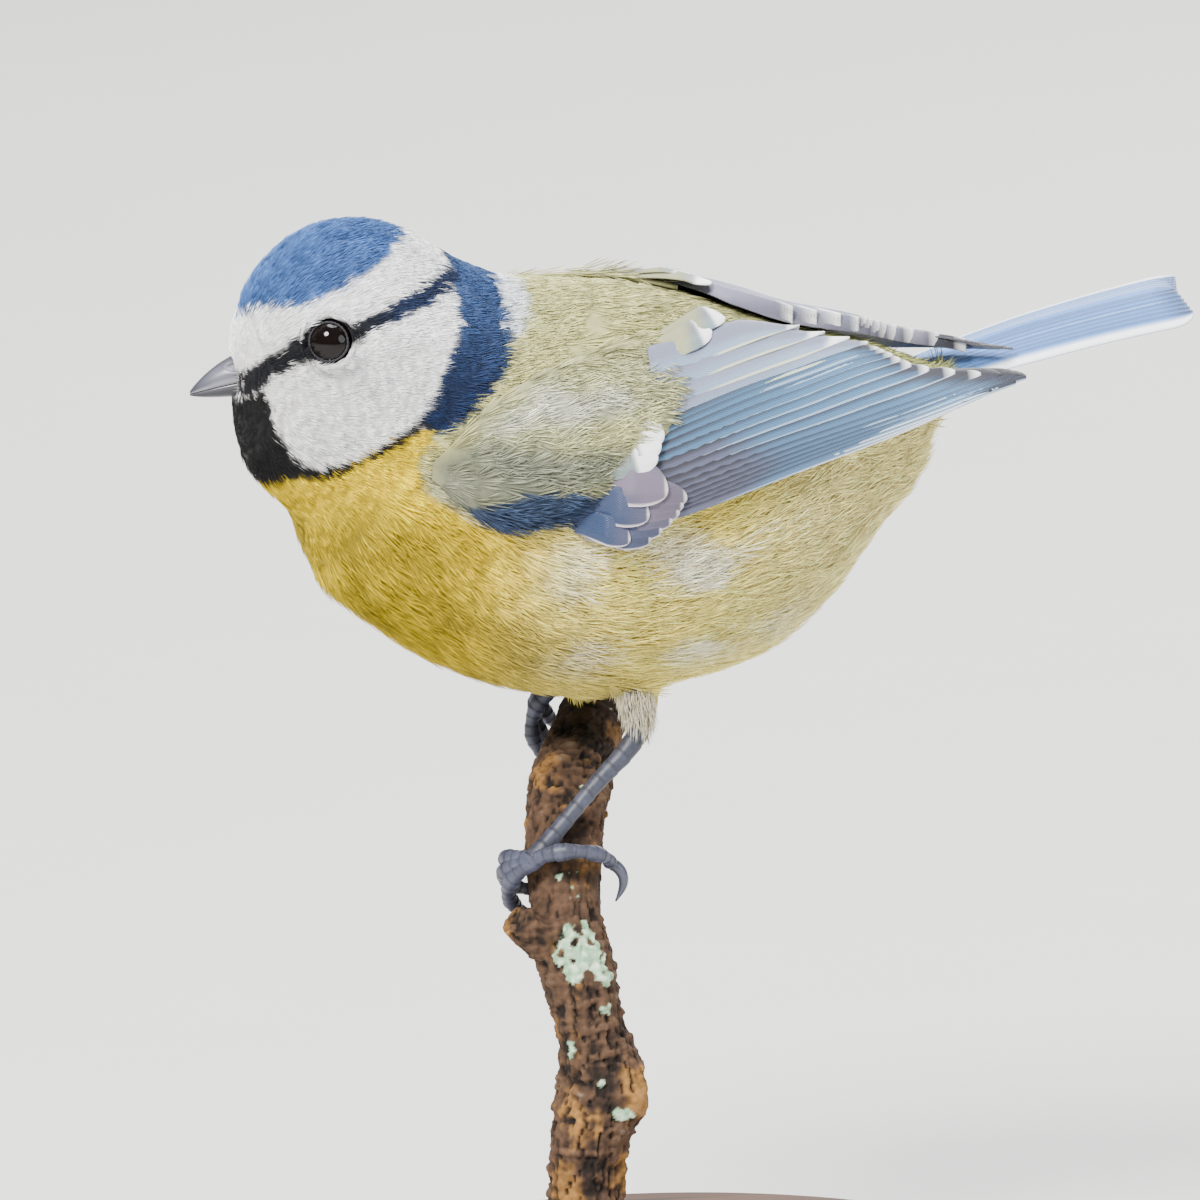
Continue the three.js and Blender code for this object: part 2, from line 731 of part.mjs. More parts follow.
addNode("tail", tail().subtract(torsoRoom), LOOKS.tailBlue);

// Legs
const FEET = {
  left: { at: 0.545, tarsus: [vec(-8.3, -9.2, 69.4), vec(-13.9, -10.8, 63.4), vec(-19.6, -10, 57.9)] },
  right: { at: 0.865, tarsus: [vec(-8.4, 8.6, 73.6), vec(-10.6, 8.4, 72.6), vec(-12.9, 8.2, 71.2)] },
};
const TOES = [
  { key: "front_inner", turn: -118, claw: -44, spread: 3.4, bulge: 0.5 },
  { key: "front_middle", turn: -128, claw: -44, spread: 0.2, bulge: 0.8 },
  { key: "front_outer", turn: -112, claw: -44, spread: -3.2, bulge: 0.5 },
  { key: "hind", turn: 92, claw: 50, spread: 0.4, bulge: 1.3 },
];

function footFrame(at) {
  const centre = perchCurve.getPointAt(at);
  const axis = perchCurve.getTangentAt(at);
  const up = vec(-0.35, 0, 1);
  up.addScaledVector(axis, -up.dot(axis)).normalize();
  const back = vec().crossVectors(axis, up).normalize();
  if (back.x < 0) back.negate();
  return { centre, axis, up, back };
}

function aroundPerch(frame, degrees, radius, shift) {
  const turn = THREE.MathUtils.degToRad(degrees);
  return frame.centre
    .clone()
    .addScaledVector(frame.up, Math.cos(turn) * radius)
    .addScaledVector(frame.back, Math.sin(turn) * radius)
    .addScaledVector(frame.axis, shift);
}

const feetRoom = [];
for (const [name, foot] of Object.entries(FEET)) {
  const frame = footFrame(foot.at);
  const holdAt = (shift) => along(PERCH_SWELL, foot.at + shift / perchLength) + GAP + 1.05;
  const hold = holdAt(0);
  const pieces = [];
  for (const toe of TOES) {
    const points = [];
    for (let i = 0; i <= 5; i++) {
      const u = i / 5;
      const shift = toe.spread * u ** 0.8;
      const radius = holdAt(shift) + toe.bulge * Math.sin(Math.PI * u) + 0.35 * (1 - u);
      points.push(aroundPerch(frame, lerp(-6, toe.turn, u), radius, shift));
    }
    const knuckles = (u) => lerp(0.95, 0.72, u) + 0.1 * Math.cos(2 * Math.PI * 3 * u);
    pieces.push(solid(bar(points, knuckles, 6, 7)));
    feetRoom.push(solid(bar(points, (u) => 1.5, 6, 5)));
    const clawPoints = [];
    for (let i = 0; i <= 3; i++) {
      const u = i / 3;
      const start = toe.turn + Math.sign(toe.claw) * 5;
      const shift = toe.spread * (1 + 0.15 * u);
      const radius = holdAt(shift) + 0.1 + 0.5 * Math.sin(Math.PI * u);
      clawPoints.push(aroundPerch(frame, start + toe.claw * u, radius, shift));
    }
    addNode(
      "claw_" + name + "_" + toe.key,
      solid(bar(clawPoints, [0.62, 0.55, 0.4, 0.14], 6, 6)),
      LOOKS.claw,
    );
  }
  const ankle = aroundPerch(frame, -4, hold + 0.5, 0);
  const shank = [...foot.tarsus.slice(0, -1), ankle];
  pieces.push(solid(bar(shank, [1.15, 0.9, 0.85, 1.2], 8, 8)));
  let body = join(pieces);
  addNode("foot_" + name, body.subtract(torsoRoom), LOOKS.leg);
  feetRoom.push(solid(bar(shank, (u) => 1.7, 6, 4)));
}

// Feathered thighs hang under the belly and narrow down to the shanks.
const THIGH = {
  at: { left: [-7.9, -6.7, 71.4], right: [-5.4, 9.4, 75.0] },
  half: [3.7, 3.0, 4.6],
  profile: [[0, -1], [0.34, -0.93], [0.62, -0.6], [0.88, -0.15], [1, 0.35], [0.75, 0.8], [0, 1]],
};
const thighForm = new THREE.LatheGeometry(THIGH.profile.map(([r, h]) => new THREE.Vector2(r, h)), 12);
thighForm.rotateX(Math.PI / 2);
for (const [name, at] of Object.entries(THIGH.at)) {
  const swell = place(thighForm, vec(...at), undefined, vec(...THIGH.half));
  let body = solid(outward(mergeVertices(swell.deleteAttribute("normal").deleteAttribute("uv"))));
  body = body.subtract(torsoRoom).subtract(perchRoom);
  for (const room of feetRoom) body = body.subtract(room);
  addNode("thigh_" + name, body, LOOKS.bodyYellow);
}

for (const room of feetRoom) torso = torso.subtract(room);
addNode("torso", torso, LOOKS.bodyYellow);

addNode("perch", perch, LOOKS.bark);

// Display stand
const base = new THREE.Mesh(new THREE.CylinderGeometry(STAND.radius, STAND.radius, STAND.thick, 56), LOOKS.stand);
base.name = "stand_base";
base.rotation.x = Math.PI / 2;
base.position.z = STAND.thick / 2;
part.add(base);

const rodLength = STAND.rodTop - STAND.thick - GAP;
const rod = new THREE.Mesh(
  new THREE.CylinderGeometry(STAND.rodRadius, STAND.rodRadius, rodLength, 24),
  LOOKS.stand,
);
rod.name = "stand_rod";
rod.rotation.x = Math.PI / 2;
rod.position.set(STAND.rodAt[0], STAND.rodAt[1], STAND.thick + GAP + rodLength / 2);
part.add(rod);

export default part;
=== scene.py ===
# Blue tit on a cut length of branch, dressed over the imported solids. Metres, +Z up.
import math
import bpy
import numpy as np
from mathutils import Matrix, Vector
from mathutils.bvhtree import BVHTree


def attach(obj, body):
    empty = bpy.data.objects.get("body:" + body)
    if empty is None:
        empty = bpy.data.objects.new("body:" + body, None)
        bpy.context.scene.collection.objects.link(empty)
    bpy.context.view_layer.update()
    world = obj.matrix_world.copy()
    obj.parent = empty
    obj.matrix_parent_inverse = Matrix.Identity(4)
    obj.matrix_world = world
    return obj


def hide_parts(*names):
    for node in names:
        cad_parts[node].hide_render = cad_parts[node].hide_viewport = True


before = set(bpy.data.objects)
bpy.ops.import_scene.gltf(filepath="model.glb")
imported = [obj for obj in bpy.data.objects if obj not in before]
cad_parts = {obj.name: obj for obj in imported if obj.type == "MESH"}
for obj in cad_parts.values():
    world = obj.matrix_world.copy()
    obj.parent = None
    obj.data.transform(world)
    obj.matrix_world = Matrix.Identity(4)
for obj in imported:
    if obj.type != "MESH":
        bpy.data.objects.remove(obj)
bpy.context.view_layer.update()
print("frame loaded")

mm = 0.001
rng = np.random.default_rng(41)


# Camera
cameraSet = {
    "turn": -10.0, "rise": 12.0,  # degrees round from the bird's left side, and up
    "target": (-0.011, 0.0, 0.082), "away": 3.0, "lens": 830.8, "sensor": 36.0, "clip": (0.05, 50.0),
    "width": 130.0, "pixels": 1200, "rayStart": 200,  # mm across the picture at the target, pixels, mm
}
camTurn = math.radians(cameraSet["turn"])
camRise = math.radians(cameraSet["rise"])
camFlat = math.cos(camRise)
toCamera = np.array([math.sin(camTurn) * camFlat, -math.cos(camTurn) * camFlat, math.sin(camRise)])
camRight = np.array([math.cos(camTurn), math.sin(camTurn), 0.0])
camUp = np.cross(toCamera, camRight)


def makeCamera():
    cam = bpy.data.cameras.new("photoCamera")
    cam.lens = cameraSet["lens"]
    cam.sensor_width = cameraSet["sensor"]
    cam.clip_start, cam.clip_end = cameraSet["clip"]
    obj = bpy.data.objects.new("photoCamera", cam)
    bpy.context.scene.collection.objects.link(obj)
    back = Vector(toCamera)
    obj.location = Vector(cameraSet["target"]) + back * cameraSet["away"]
    obj.rotation_mode = "QUATERNION"
    obj.rotation_quaternion = (-back).to_track_quat("-Z", "Y")
    bpy.context.scene.camera = obj


def photoRay(px, py):  # the line of sight through a pixel of the picture, in mm
    scale = cameraSet["width"] / cameraSet["pixels"]
    middle = cameraSet["pixels"] / 2
    start = np.array(cameraSet["target"]) * 1000
    start = start + camRight * (px - middle) * scale + camUp * (middle - py) * scale
    return start + toCamera * cameraSet["rayStart"], -toCamera


# Small helpers
def clearSelection():
    if bpy.context.object and bpy.context.object.mode != "OBJECT":
        bpy.ops.object.mode_set(mode="OBJECT")
    bpy.ops.object.select_all(action="DESELECT")


def pick(obj):
    clearSelection()
    obj.select_set(True)
    bpy.context.view_layer.objects.active = obj


def applyModifier(obj, kind, **settings):
    pick(obj)
    mod = obj.modifiers.new(kind.lower(), kind)
    for key, value in settings.items():
        setattr(mod, key, value)
    bpy.ops.object.modifier_apply(modifier=mod.name)


def joinObjects(name, parts):
    clearSelection()
    for part in parts:
        part.select_set(True)
    bpy.context.view_layer.objects.active = parts[0]
    if len(parts) > 1:
        bpy.ops.object.join()
    made = bpy.context.view_layer.objects.active
    made.name = name
    made.data.name = name
    return made


def editAll(obj, operator, **settings):  # runs one edit-mode operator on all of a piece
    pick(obj)
    bpy.ops.object.mode_set(mode="EDIT")
    bpy.ops.mesh.select_all(action="SELECT")
    operator(**settings)
    bpy.ops.object.mode_set(mode="OBJECT")


def unwrap(obj):
    editAll(obj, bpy.ops.uv.smart_project, angle_limit=1.15, island_margin=0.004)
    obj.data.uv_layers[0].name = "OFBake"


def copyNodes(name, nodes):  # one merged mesh from copies of CAD nodes
    copies = []
    for node in nodes:
        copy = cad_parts[node].copy()
        copy.data = copy.data.copy()
        for key in list(copy.keys()):
            if key.startswith("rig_"):
                del copy[key]
        bpy.context.scene.collection.objects.link(copy)
        copies.append(copy)
    made = joinObjects(name, copies)
    made.data.materials.clear()
    editAll(made, bpy.ops.mesh.remove_doubles, threshold=0.000004)
    return made


def treeOf(mesh):  # for casting lines of sight on a mesh
    return BVHTree.FromPolygons([Vector(v) for v in readCo(mesh)], [tuple(p.vertices) for p in mesh.polygons])


def readCo(mesh):
    co = np.empty(len(mesh.vertices) * 3, dtype=np.float32)
    mesh.vertices.foreach_get("co", co)
    return co.reshape(-1, 3).astype(np.float64)


def writeCo(mesh, co):
    mesh.vertices.foreach_set("co", np.ascontiguousarray(co, dtype=np.float32).ravel())
    mesh.update()


def readNormals(mesh):
    n = np.empty(len(mesh.vertices) * 3, dtype=np.float32)
    mesh.vertex_normals.foreach_get("vector", n)
    return n.reshape(-1, 3).astype(np.float64)


def unit(v):
    return v / np.maximum(np.linalg.norm(v, axis=-1, keepdims=True), 1e-9)


def smooth(lo, hi, x):
    t = np.clip((x - lo) / (hi - lo), 0, 1)
    return t * t * (3 - 2 * t)


def mix(a, b, t):
    return a + (b - a) * t


def toLinear(rgb):
    c = np.asarray(rgb, dtype=np.float64) / 255.0
    return np.where(c <= 0.04045, c / 12.92, ((c + 0.055) / 1.055) ** 2.4)


def meshFrom(name, co, faces, uv=None, tint=None):  # faces as an (n,3) or (n,4) array
    mesh = bpy.data.meshes.new(name)
    corners = faces.shape[1]
    mesh.vertices.add(len(co))
    mesh.vertices.foreach_set("co", np.ascontiguousarray(co, dtype=np.float32).ravel())
    mesh.loops.add(faces.size)
    mesh.loops.foreach_set("vertex_index", np.ascontiguousarray(faces, dtype=np.int32).ravel())
    mesh.polygons.add(len(faces))
    mesh.polygons.foreach_set("loop_start", np.arange(0, faces.size, corners, dtype=np.int32))
    mesh.polygons.foreach_set("loop_total", np.full(len(faces), corners, dtype=np.int32))
    mesh.update(calc_edges=True)
    if uv is not None:
        layer = mesh.uv_layers.new(name="OFBake")
        layer.data.foreach_set("uv", np.ascontiguousarray(uv[faces.ravel()], dtype=np.float32).ravel())
    if tint is not None:
        setTint(mesh, tint)
    mesh.polygons.foreach_set("use_smooth", np.ones(len(faces), dtype=bool))
    mesh.validate()
    obj = bpy.data.objects.new(name, mesh)
    bpy.context.scene.collection.objects.link(obj)
    return obj


def setTint(mesh, tint):
    layer = mesh.color_attributes.new(name="plumage", type="FLOAT_COLOR", domain="POINT")
    rgba = np.ones((len(tint), 4), dtype=np.float32)
    rgba[:, :3] = np.clip(tint, 0, 1)
    layer.data.foreach_set("color", rgba.ravel())


def smoothShade(obj):
    obj.data.polygons.foreach_set("use_smooth", np.ones(len(obj.data.polygons), dtype=bool))
    obj.data.update()


def finishPiece(obj, material, nodes=()):
    obj.data.materials.clear()
    obj.data.materials.append(material)
    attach(obj, "root")
    if nodes:
        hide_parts(*nodes)


# Smooth value noise on points in mm, seeded by its offset
def wave(p, size, offset=0.0):
    q = p / size
    a = np.sin(q[:, 0] * 1.7 + offset + 1.3 * np.sin(q[:, 1] * 1.1 + 2.1 * offset))
    b = np.sin(q[:, 1] * 1.9 - offset * 1.7 + 1.1 * np.sin(q[:, 2] * 1.3 - offset))
    c = np.sin(q[:, 2] * 1.6 + offset * 0.6 + 1.2 * np.sin(q[:, 0] * 1.2 + 0.5 * offset))
    return (a + b + c) / 3


# The trunk's form: the same rounded masses as the solids, in mm
roll = math.radians(13)  # the trunk leans towards its left side
axisZ = 94.5  # height of the line along X that it leans about
headMidY = -3.0
blendSoft = 1.6
masses = {
    "head": ((-38.7, -3, 112.2), (13.4, 12.2, 13.9), 0, False),
    "throat": ((-42.6, -3, 102.7), (8.8, 8.6, 8.8), 0, False),
    "neck": ((-30.1, -2.5, 107), (14, 13.5, 13.5), 0, False),
    "chest": ((-35.2, -1, 93.3), (9.5, 11, 10.5), 0, False),
    "mantle": ((-17.5, 0, 105.2), (20, 15.5, 12.8), -4, True),
    "torso": ((-11.3, 0, 93.9), (31, 19.5, 23.6), 0, True),
    "rump": ((8, 0, 101.5), (15, 11, 9.5), 14, True),
    "vent": ((14, 0, 97.7), (11, 8.5, 9.8), 22, True),
    "coverts": ((17.6, 0.5, 102.6), (11, 6.5, 4.2), 18, True),
    "wingBed": ((20, -1.5, 97.9), (24, 9.2, 9.7), 10, True),
}


def leanBy(p, angle):
    y = p[:, 1]
    z = p[:, 2] - axisZ
    c, s = math.cos(angle), math.sin(angle)
    return np.stack([p[:, 0], y * c - z * s, axisZ + y * s + z * c], 1)


def leanIn(p):  # as if the trunk stood upright
    return leanBy(p, -roll)


def leanOut(q):
    return leanBy(q, roll)


def formField(p, withBed=False):  # about the distance in mm outside the trunk's surface
    q = leanIn(p)
    total = np.zeros(len(p))
    for name, (at, half, pitch, leans) in masses.items():
        if name == "wingBed" and not withBed:
            continue
        r = (q if leans else p) - np.array(at)
        t = math.radians(pitch)
        lx = r[:, 0] * math.cos(t) + r[:, 2] * math.sin(t)
        lz = -r[:, 0] * math.sin(t) + r[:, 2] * math.cos(t)
        a, b, c = half
        k0 = np.sqrt((lx / a) ** 2 + (r[:, 1] / b) ** 2 + (lz / c) ** 2) + 1e-9
        k1 = np.sqrt((lx / a**2) ** 2 + (r[:, 1] / b**2) ** 2 + (lz / c**2) ** 2) + 1e-9
        total += np.exp(-np.clip(k0 * (k0 - 1) / k1, -30, 60) / blendSoft)
    return -blendSoft * np.log(total + 1e-300)


bedSet = {"from": 34.0, "steps": 40, "share": 0.85}  # the search inwards for the surface of the wings' bed
twistSet = {"degrees": 10.0, "from": -28, "long": 62, "power": 1.5}  # the right wing's tip crosses over


def bedRadius(x, degrees):
    turn = np.radians(degrees)
    r = np.full(len(x), bedSet["from"])
    for _ in range(bedSet["steps"]):
        q = np.stack([x, -np.sin(turn) * r, axisZ + np.cos(turn) * r], 1)
        r -= bedSet["share"] * formField(leanOut(q), True)
    return r


def onBed(side, x, degrees, lift):  # side -1 is the left wing
    x = np.asarray(x, dtype=np.float64)
    turn = np.asarray(degrees, dtype=np.float64)
    if side > 0:
        crossed = np.clip((x - twistSet["from"]) / twistSet["long"], 0, 1) ** twistSet["power"]
        turn = -turn + twistSet["degrees"] * crossed
    r = bedRadius(x, turn) + lift
    t = np.radians(turn)
    return leanOut(np.stack([x, -np.sin(t) * r, axisZ + np.cos(t) * r], 1))


def along(values, u):  # reads a smooth run of values at u from 0 to 1
    values = np.asarray(values, dtype=np.float64)
    u = np.clip(np.asarray(u, dtype=np.float64), 0, 1)
    last = len(values) - 1
    s = u * last
    i = np.minimum(np.floor(s).astype(int), last - 1)
    t = s - i
    padded = np.concatenate([[2 * values[0] - values[1]], values, [2 * values[-1] - values[-2]]])
    p0, p1, p2, p3 = padded[i], padded[i + 1], padded[i + 2], padded[i + 3]
    return 0.5 * (
        2 * p1 + (p2 - p0) * t
        + (2 * p0 - 5 * p1 + 4 * p2 - p3) * t**2
        + (-p0 + 3 * p1 - 3 * p2 + p3) * t**3
    )


# Studio
studioSet = {
    "floorSize": 6.0, "floorColour": (0.60, 0.595, 0.58),
    "worldColour": (0.93, 0.95, 1.0), "worldStrength": 0.30, "aim": (-0.01, 0, 0.09),
    # place, size, power and colour of each light
    "lights": {
        "keyLight": ((-0.60, -0.70, 0.95), 0.40, 37.0, (1.0, 0.97, 0.92)),
        "fillLight": ((0.75, -0.85, 0.45), 0.7, 6.0, (0.92, 0.96, 1.0)),
        "skyLight": ((0.05, 0.10, 1.20), 0.8, 31.0, (0.97, 0.98, 1.0)),
        "rimLight": ((0.45, 0.80, 0.60), 0.4, 10.0, (1.0, 0.99, 0.96)),
    },
}


def makeStudio():
    clearSelection()
    bpy.ops.mesh.primitive_plane_add(size=studioSet["floorSize"], location=(0, 0, 0))
    floor = bpy.context.object
    floor.name = "studioFloor"
    floor.data.materials.append(plainMaterial("paleFloor", studioSet["floorColour"], 0.9, 0.02))
    world = bpy.data.worlds.new("softSky")
    bpy.context.scene.world = world
    world.use_nodes = True
    back = world.node_tree.nodes["Background"]
    back.inputs["Color"].default_value = (*studioSet["worldColour"], 1)
    back.inputs["Strength"].default_value = studioSet["worldStrength"]
    for name, (place, size, power, colour) in studioSet["lights"].items():
        data = bpy.data.lights.new(name, "AREA")
        data.shape = "DISK"
        data.size = size
        data.energy = power
        data.color = colour
        lamp = bpy.data.objects.new(name, data)
        bpy.context.scene.collection.objects.link(lamp)
        lamp.location = place
        aim = Vector(studioSet["aim"]) - Vector(place)
        lamp.rotation_mode = "QUATERNION"
        lamp.rotation_quaternion = aim.to_track_quat("-Z", "Y")
        lamp.visible_camera = False


# Materials
def newMaterial(name, roughness):
    mat = bpy.data.materials.new(name)
    mat.use_nodes = True
    tree = mat.node_tree
    shader = tree.nodes["Principled BSDF"]
    shader.inputs["Roughness"].default_value = roughness
    return mat, tree, shader


def link(tree, a, b):
    tree.links.new(a, b)


def addNode(tree, kind, values=None, operation=None):  # values are given by the sockets' names or numbers
    node = tree.nodes.new("ShaderNode" + kind)
    if operation:
        node.operation = operation
    for socket, value in (values or {}).items():
        node.inputs[socket].default_value = value
    return node


def objectTexture(tree, kind, values):  # a texture on the piece's own coordinates
    coords = addNode(tree, "TexCoord")
    texture = addNode(tree, kind, values)
    link(tree, coords.outputs["Object"], texture.inputs["Vector"])
    return texture


def mottle(tree, shader, scale, low, high):  # a base colour mixed from two by fine noise
    noise = objectTexture(tree, "TexNoise", {"Scale": scale})
    tones = addNode(tree, "MixRGB", {1: (*low, 1), 2: (*high, 1)})
    link(tree, noise.outputs["Fac"], tones.inputs[0])
    link(tree, tones.outputs[0], shader.inputs["Base Color"])


def tintBy(tree, shader, source, levels):  # the plumage attribute as base colour, lightened and darkened
    tint = addNode(tree, "VertexColor")
    tint.layer_name = "plumage"
    level = addNode(tree, "MapRange", levels)
    shade = addNode(tree, "VectorMath", operation="SCALE")
    link(tree, source, level.inputs["Value"])
    link(tree, tint.outputs["Color"], shade.inputs[0])
    link(tree, level.outputs["Result"], shade.inputs["Scale"])
    link(tree, shade.outputs["Vector"], shader.inputs["Base Color"])


def bumpBy(tree, shader, source, strength, distance):
    bump = addNode(tree, "Bump", {"Strength": strength, "Distance": distance})
    link(tree, source, bump.inputs["Height"])
    link(tree, bump.outputs["Normal"], shader.inputs["Normal"])


def plainMaterial(name, colour, roughness, grain):
    mat, tree, shader = newMaterial(name, roughness)
    low = [c * (1 - grain) for c in colour]
    high = [min(1, c * (1 + grain)) for c in colour]
    mottle(tree, shader, 30, low, high)
    return mat


def plumageMaterial(name, roughness=0.85, sheen=0.03, speckle=0.12, scale=900):
    mat, tree, shader = newMaterial(name, roughness)
    noise = objectTexture(tree, "TexNoise", {"Scale": scale, "Detail": 3})
    levels = {"From Min": 0.3, "From Max": 0.7, "To Min": 1 - speckle, "To Max": 1 + speckle}
    tintBy(tree, shader, noise.outputs["Fac"], levels)
    shader.inputs["Sheen Weight"].default_value = sheen
    shader.inputs["Specular IOR Level"].default_value = 0.3
    return mat


# Skin
fleshNodes = ["head", "neck", "torso", "thigh_left", "thigh_right"]
skinSet = {
    "swell": 0.30, "voxel": 0.50, "smoothing": 12, "settle": 4,
    # the coat's depth at the bill, on the head and on the trunk, and how much deeper it is below
    "depth": (0.28, 0.65, 1.0), "below": 0.35, "bill": (-51.0, -3.0, 108.5),
    "headFade": (3, 14), "trunkFade": (24, 38),  # mm from the bill
}


def coatDepth(p):  # how far the skin lies under the solids' surface, in mm
    atBill, onHead, onTrunk = skinSet["depth"]
    d = np.linalg.norm(p - np.array(skinSet["bill"]), axis=1)
    depth = mix(atBill, onHead, smooth(*skinSet["headFade"], d))
    depth = mix(depth, onTrunk, smooth(*skinSet["trunkFade"], d))
    under = smooth(100, 84, leanIn(p)[:, 2]) * smooth(-36, -26, p[:, 0])
    return depth + skinSet["below"] * under


def makeSkin():
    skin = copyNodes("skin", fleshNodes)
    co = readCo(skin.data)
    writeCo(skin.data, co + readNormals(skin.data) * skinSet["swell"] * mm)
    applyModifier(skin, "REMESH", mode="VOXEL", voxel_size=skinSet["voxel"] * mm)
    applyModifier(skin, "SMOOTH", factor=0.5, iterations=skinSet["smoothing"])
    co = readCo(skin.data) / mm
    normal = readNormals(skin.data)
    writeCo(skin.data, (co - normal * (skinSet["swell"] + coatDepth(co))[:, None]) * mm)
    applyModifier(skin, "SMOOTH", factor=0.5, iterations=skinSet["settle"])
    applyModifier(skin, "TRIANGULATE")
    unwrap(skin)
    smoothShade(skin)
    return skin


# Markings: shapes traced in the picture's pixels, carried round the bird's two sides
markSet = {
    "cap": [
        (150, 330), (230, 322), (247, 318), (267, 313), (290, 313), (308, 310), (323, 302), (347, 293),
        (367, 280), (387, 265), (400, 250), (412, 238), (428, 227), (448, 214), (458, 100), (150, 100),
    ],
    "eyeLine": [
        (250, 372), (267, 362), (290, 350), (310, 334), (333, 322), (352, 324), (367, 323), (393, 309),
        (413, 298), (433, 285), (450, 270), (462, 280), (453, 292), (433, 307), (413, 318), (387, 328),
        (367, 342), (353, 352), (333, 368), (310, 363), (293, 373), (277, 381), (267, 391), (255, 400),
        (240, 400), (240, 375),
    ],
    "cheek": [
        (266, 391), (275, 407), (277, 423), (287, 443), (297, 457), (307, 467), (327, 473), (347, 467),
        (367, 460), (387, 448), (407, 435), (423, 420), (433, 403), (443, 383), (450, 363), (457, 347),
        (460, 327), (457, 307), (453, 292), (433, 307), (413, 318), (387, 328), (367, 342), (353, 352),
        (333, 366), (310, 363), (293, 373), (277, 381),
    ],
    "bib": [
        (228, 404), (245, 400), (266, 391), (275, 407), (277, 423), (287, 443), (297, 457), (307, 467),
        (327, 473), (347, 467), (367, 460), (387, 448), (407, 435), (423, 420), (430, 428), (405, 447),
        (380, 460), (357, 472), (330, 481), (313, 481), (290, 484), (263, 487), (230, 490), (190, 470),
        (190, 405),
    ],
    "collar": [
        (441, 232), (470, 244), (477, 255), (490, 273), (502, 292), (510, 317), (511, 343), (507, 370),
        (497, 393), (480, 410), (463, 425), (447, 436), (430, 432), (420, 424), (433, 403), (443, 383),
        (450, 363), (457, 347), (460, 327), (457, 307), (453, 292), (450, 270), (447, 250),
    ],
    "headAll": [
        (150, 80), (455, 80), (455, 232), (460, 250), (463, 270), (475, 300), (472, 330), (440, 425),
        (330, 476), (230, 480), (150, 420),
    ],
    "nape": [
        (455, 236), (460, 255), (474, 273), (486, 292), (494, 317), (497, 338), (520, 345), (530, 320),
        (531, 290), (524, 268), (512, 256), (500, 250),
    ],
    "sideGrey": [
        (437, 434), (428, 450), (423, 470), (424, 493), (446, 508), (470, 520), (520, 535), (620, 525),
        (680, 495), (760, 462), (850, 430), (960, 392), (1100, 330), (1100, 150), (490, 150), (492, 345),
        (488, 372), (478, 390), (462, 405), (446, 420),
    ],
}


def castOn(tree, px, py):
    start, way = photoRay(px, py)
    hit = tree.ray_cast(Vector(start * mm), Vector(way), 1.0)[0]
    return None if hit is None else np.array(hit) / mm


def sidePlace(tree, px, py):  # where a pixel falls on the near side, as x and z in mm
    hit = castOn(tree, px, py)
    if hit is not None:
        return hit[0], hit[2]
    start, way = photoRay(px, py)
    t = (headMidY - start[1]) / way[1]
    spot = start + way * t
    return spot[0], spot[2]


def nearSide(p):  # every point's twin on the near side
    head = p.copy()
    head[:, 1] = headMidY - np.abs(p[:, 1] - headMidY)
    q = leanIn(p)
    q[:, 1] = -np.abs(q[:, 1])
    body = leanOut(q)
    w = smooth(-38, -22, p[:, 0])[:, None]
    return mix(head, body, w)


def insideBy(shape, x, z):  # mm inside a traced outline, negative outside it
    n = len(shape)
    best = np.full(len(x), 1e9)
    inside = np.zeros(len(x), dtype=bool)
    for i in range(n):
        x0, z0 = shape[i]
        x1, z1 = shape[(i + 1) % n]
        dx, dz = x1 - x0, z1 - z0
        t = np.clip(((x - x0) * dx + (z - z0) * dz) / max(dx * dx + dz * dz, 1e-9), 0, 1)
        best = np.minimum(best, np.hypot(x - x0 - t * dx, z - z0 - t * dz))
        if z0 != z1:
            cross = (z0 > z) != (z1 > z)
            at = x0 + (z - z0) * dx / (z1 - z0)
            inside ^= cross & (x < at)
    return np.where(inside, best, -best)


plumageSet = {
    "white": (254, 254, 255), "capBlue": (72, 110, 172), "capDeep": (40, 68, 116),
    "lineDark": (14, 16, 24), "bibBlack": (10, 10, 13), "navy": (14, 36, 74), "navyTop": (54, 80, 126),
    "navyLow": (6, 10, 20), "nape": (224, 229, 240), "mantle": (188, 186, 128),
    "mantleGrey": (164, 166, 142), "rump": (176, 178, 112), "yellow": (238, 206, 0),
    "yellowPaintedShade": (112, 98, 24), "yellowPale": (242, 214, 76), "belly": (246, 230, 138),
    "fluff": (250, 247, 232), "ventPale": (246, 230, 156), "thigh": (176, 164, 128),
    "armSilver": (196, 198, 190), "armSlate": (114, 120, 108), "wrist": (54, 70, 98),
}
markShapes = {}


def paint(base, colour, amount):
    return mix(base, toLinear(colour)[None, :], np.clip(amount, 0, 1)[:, None])


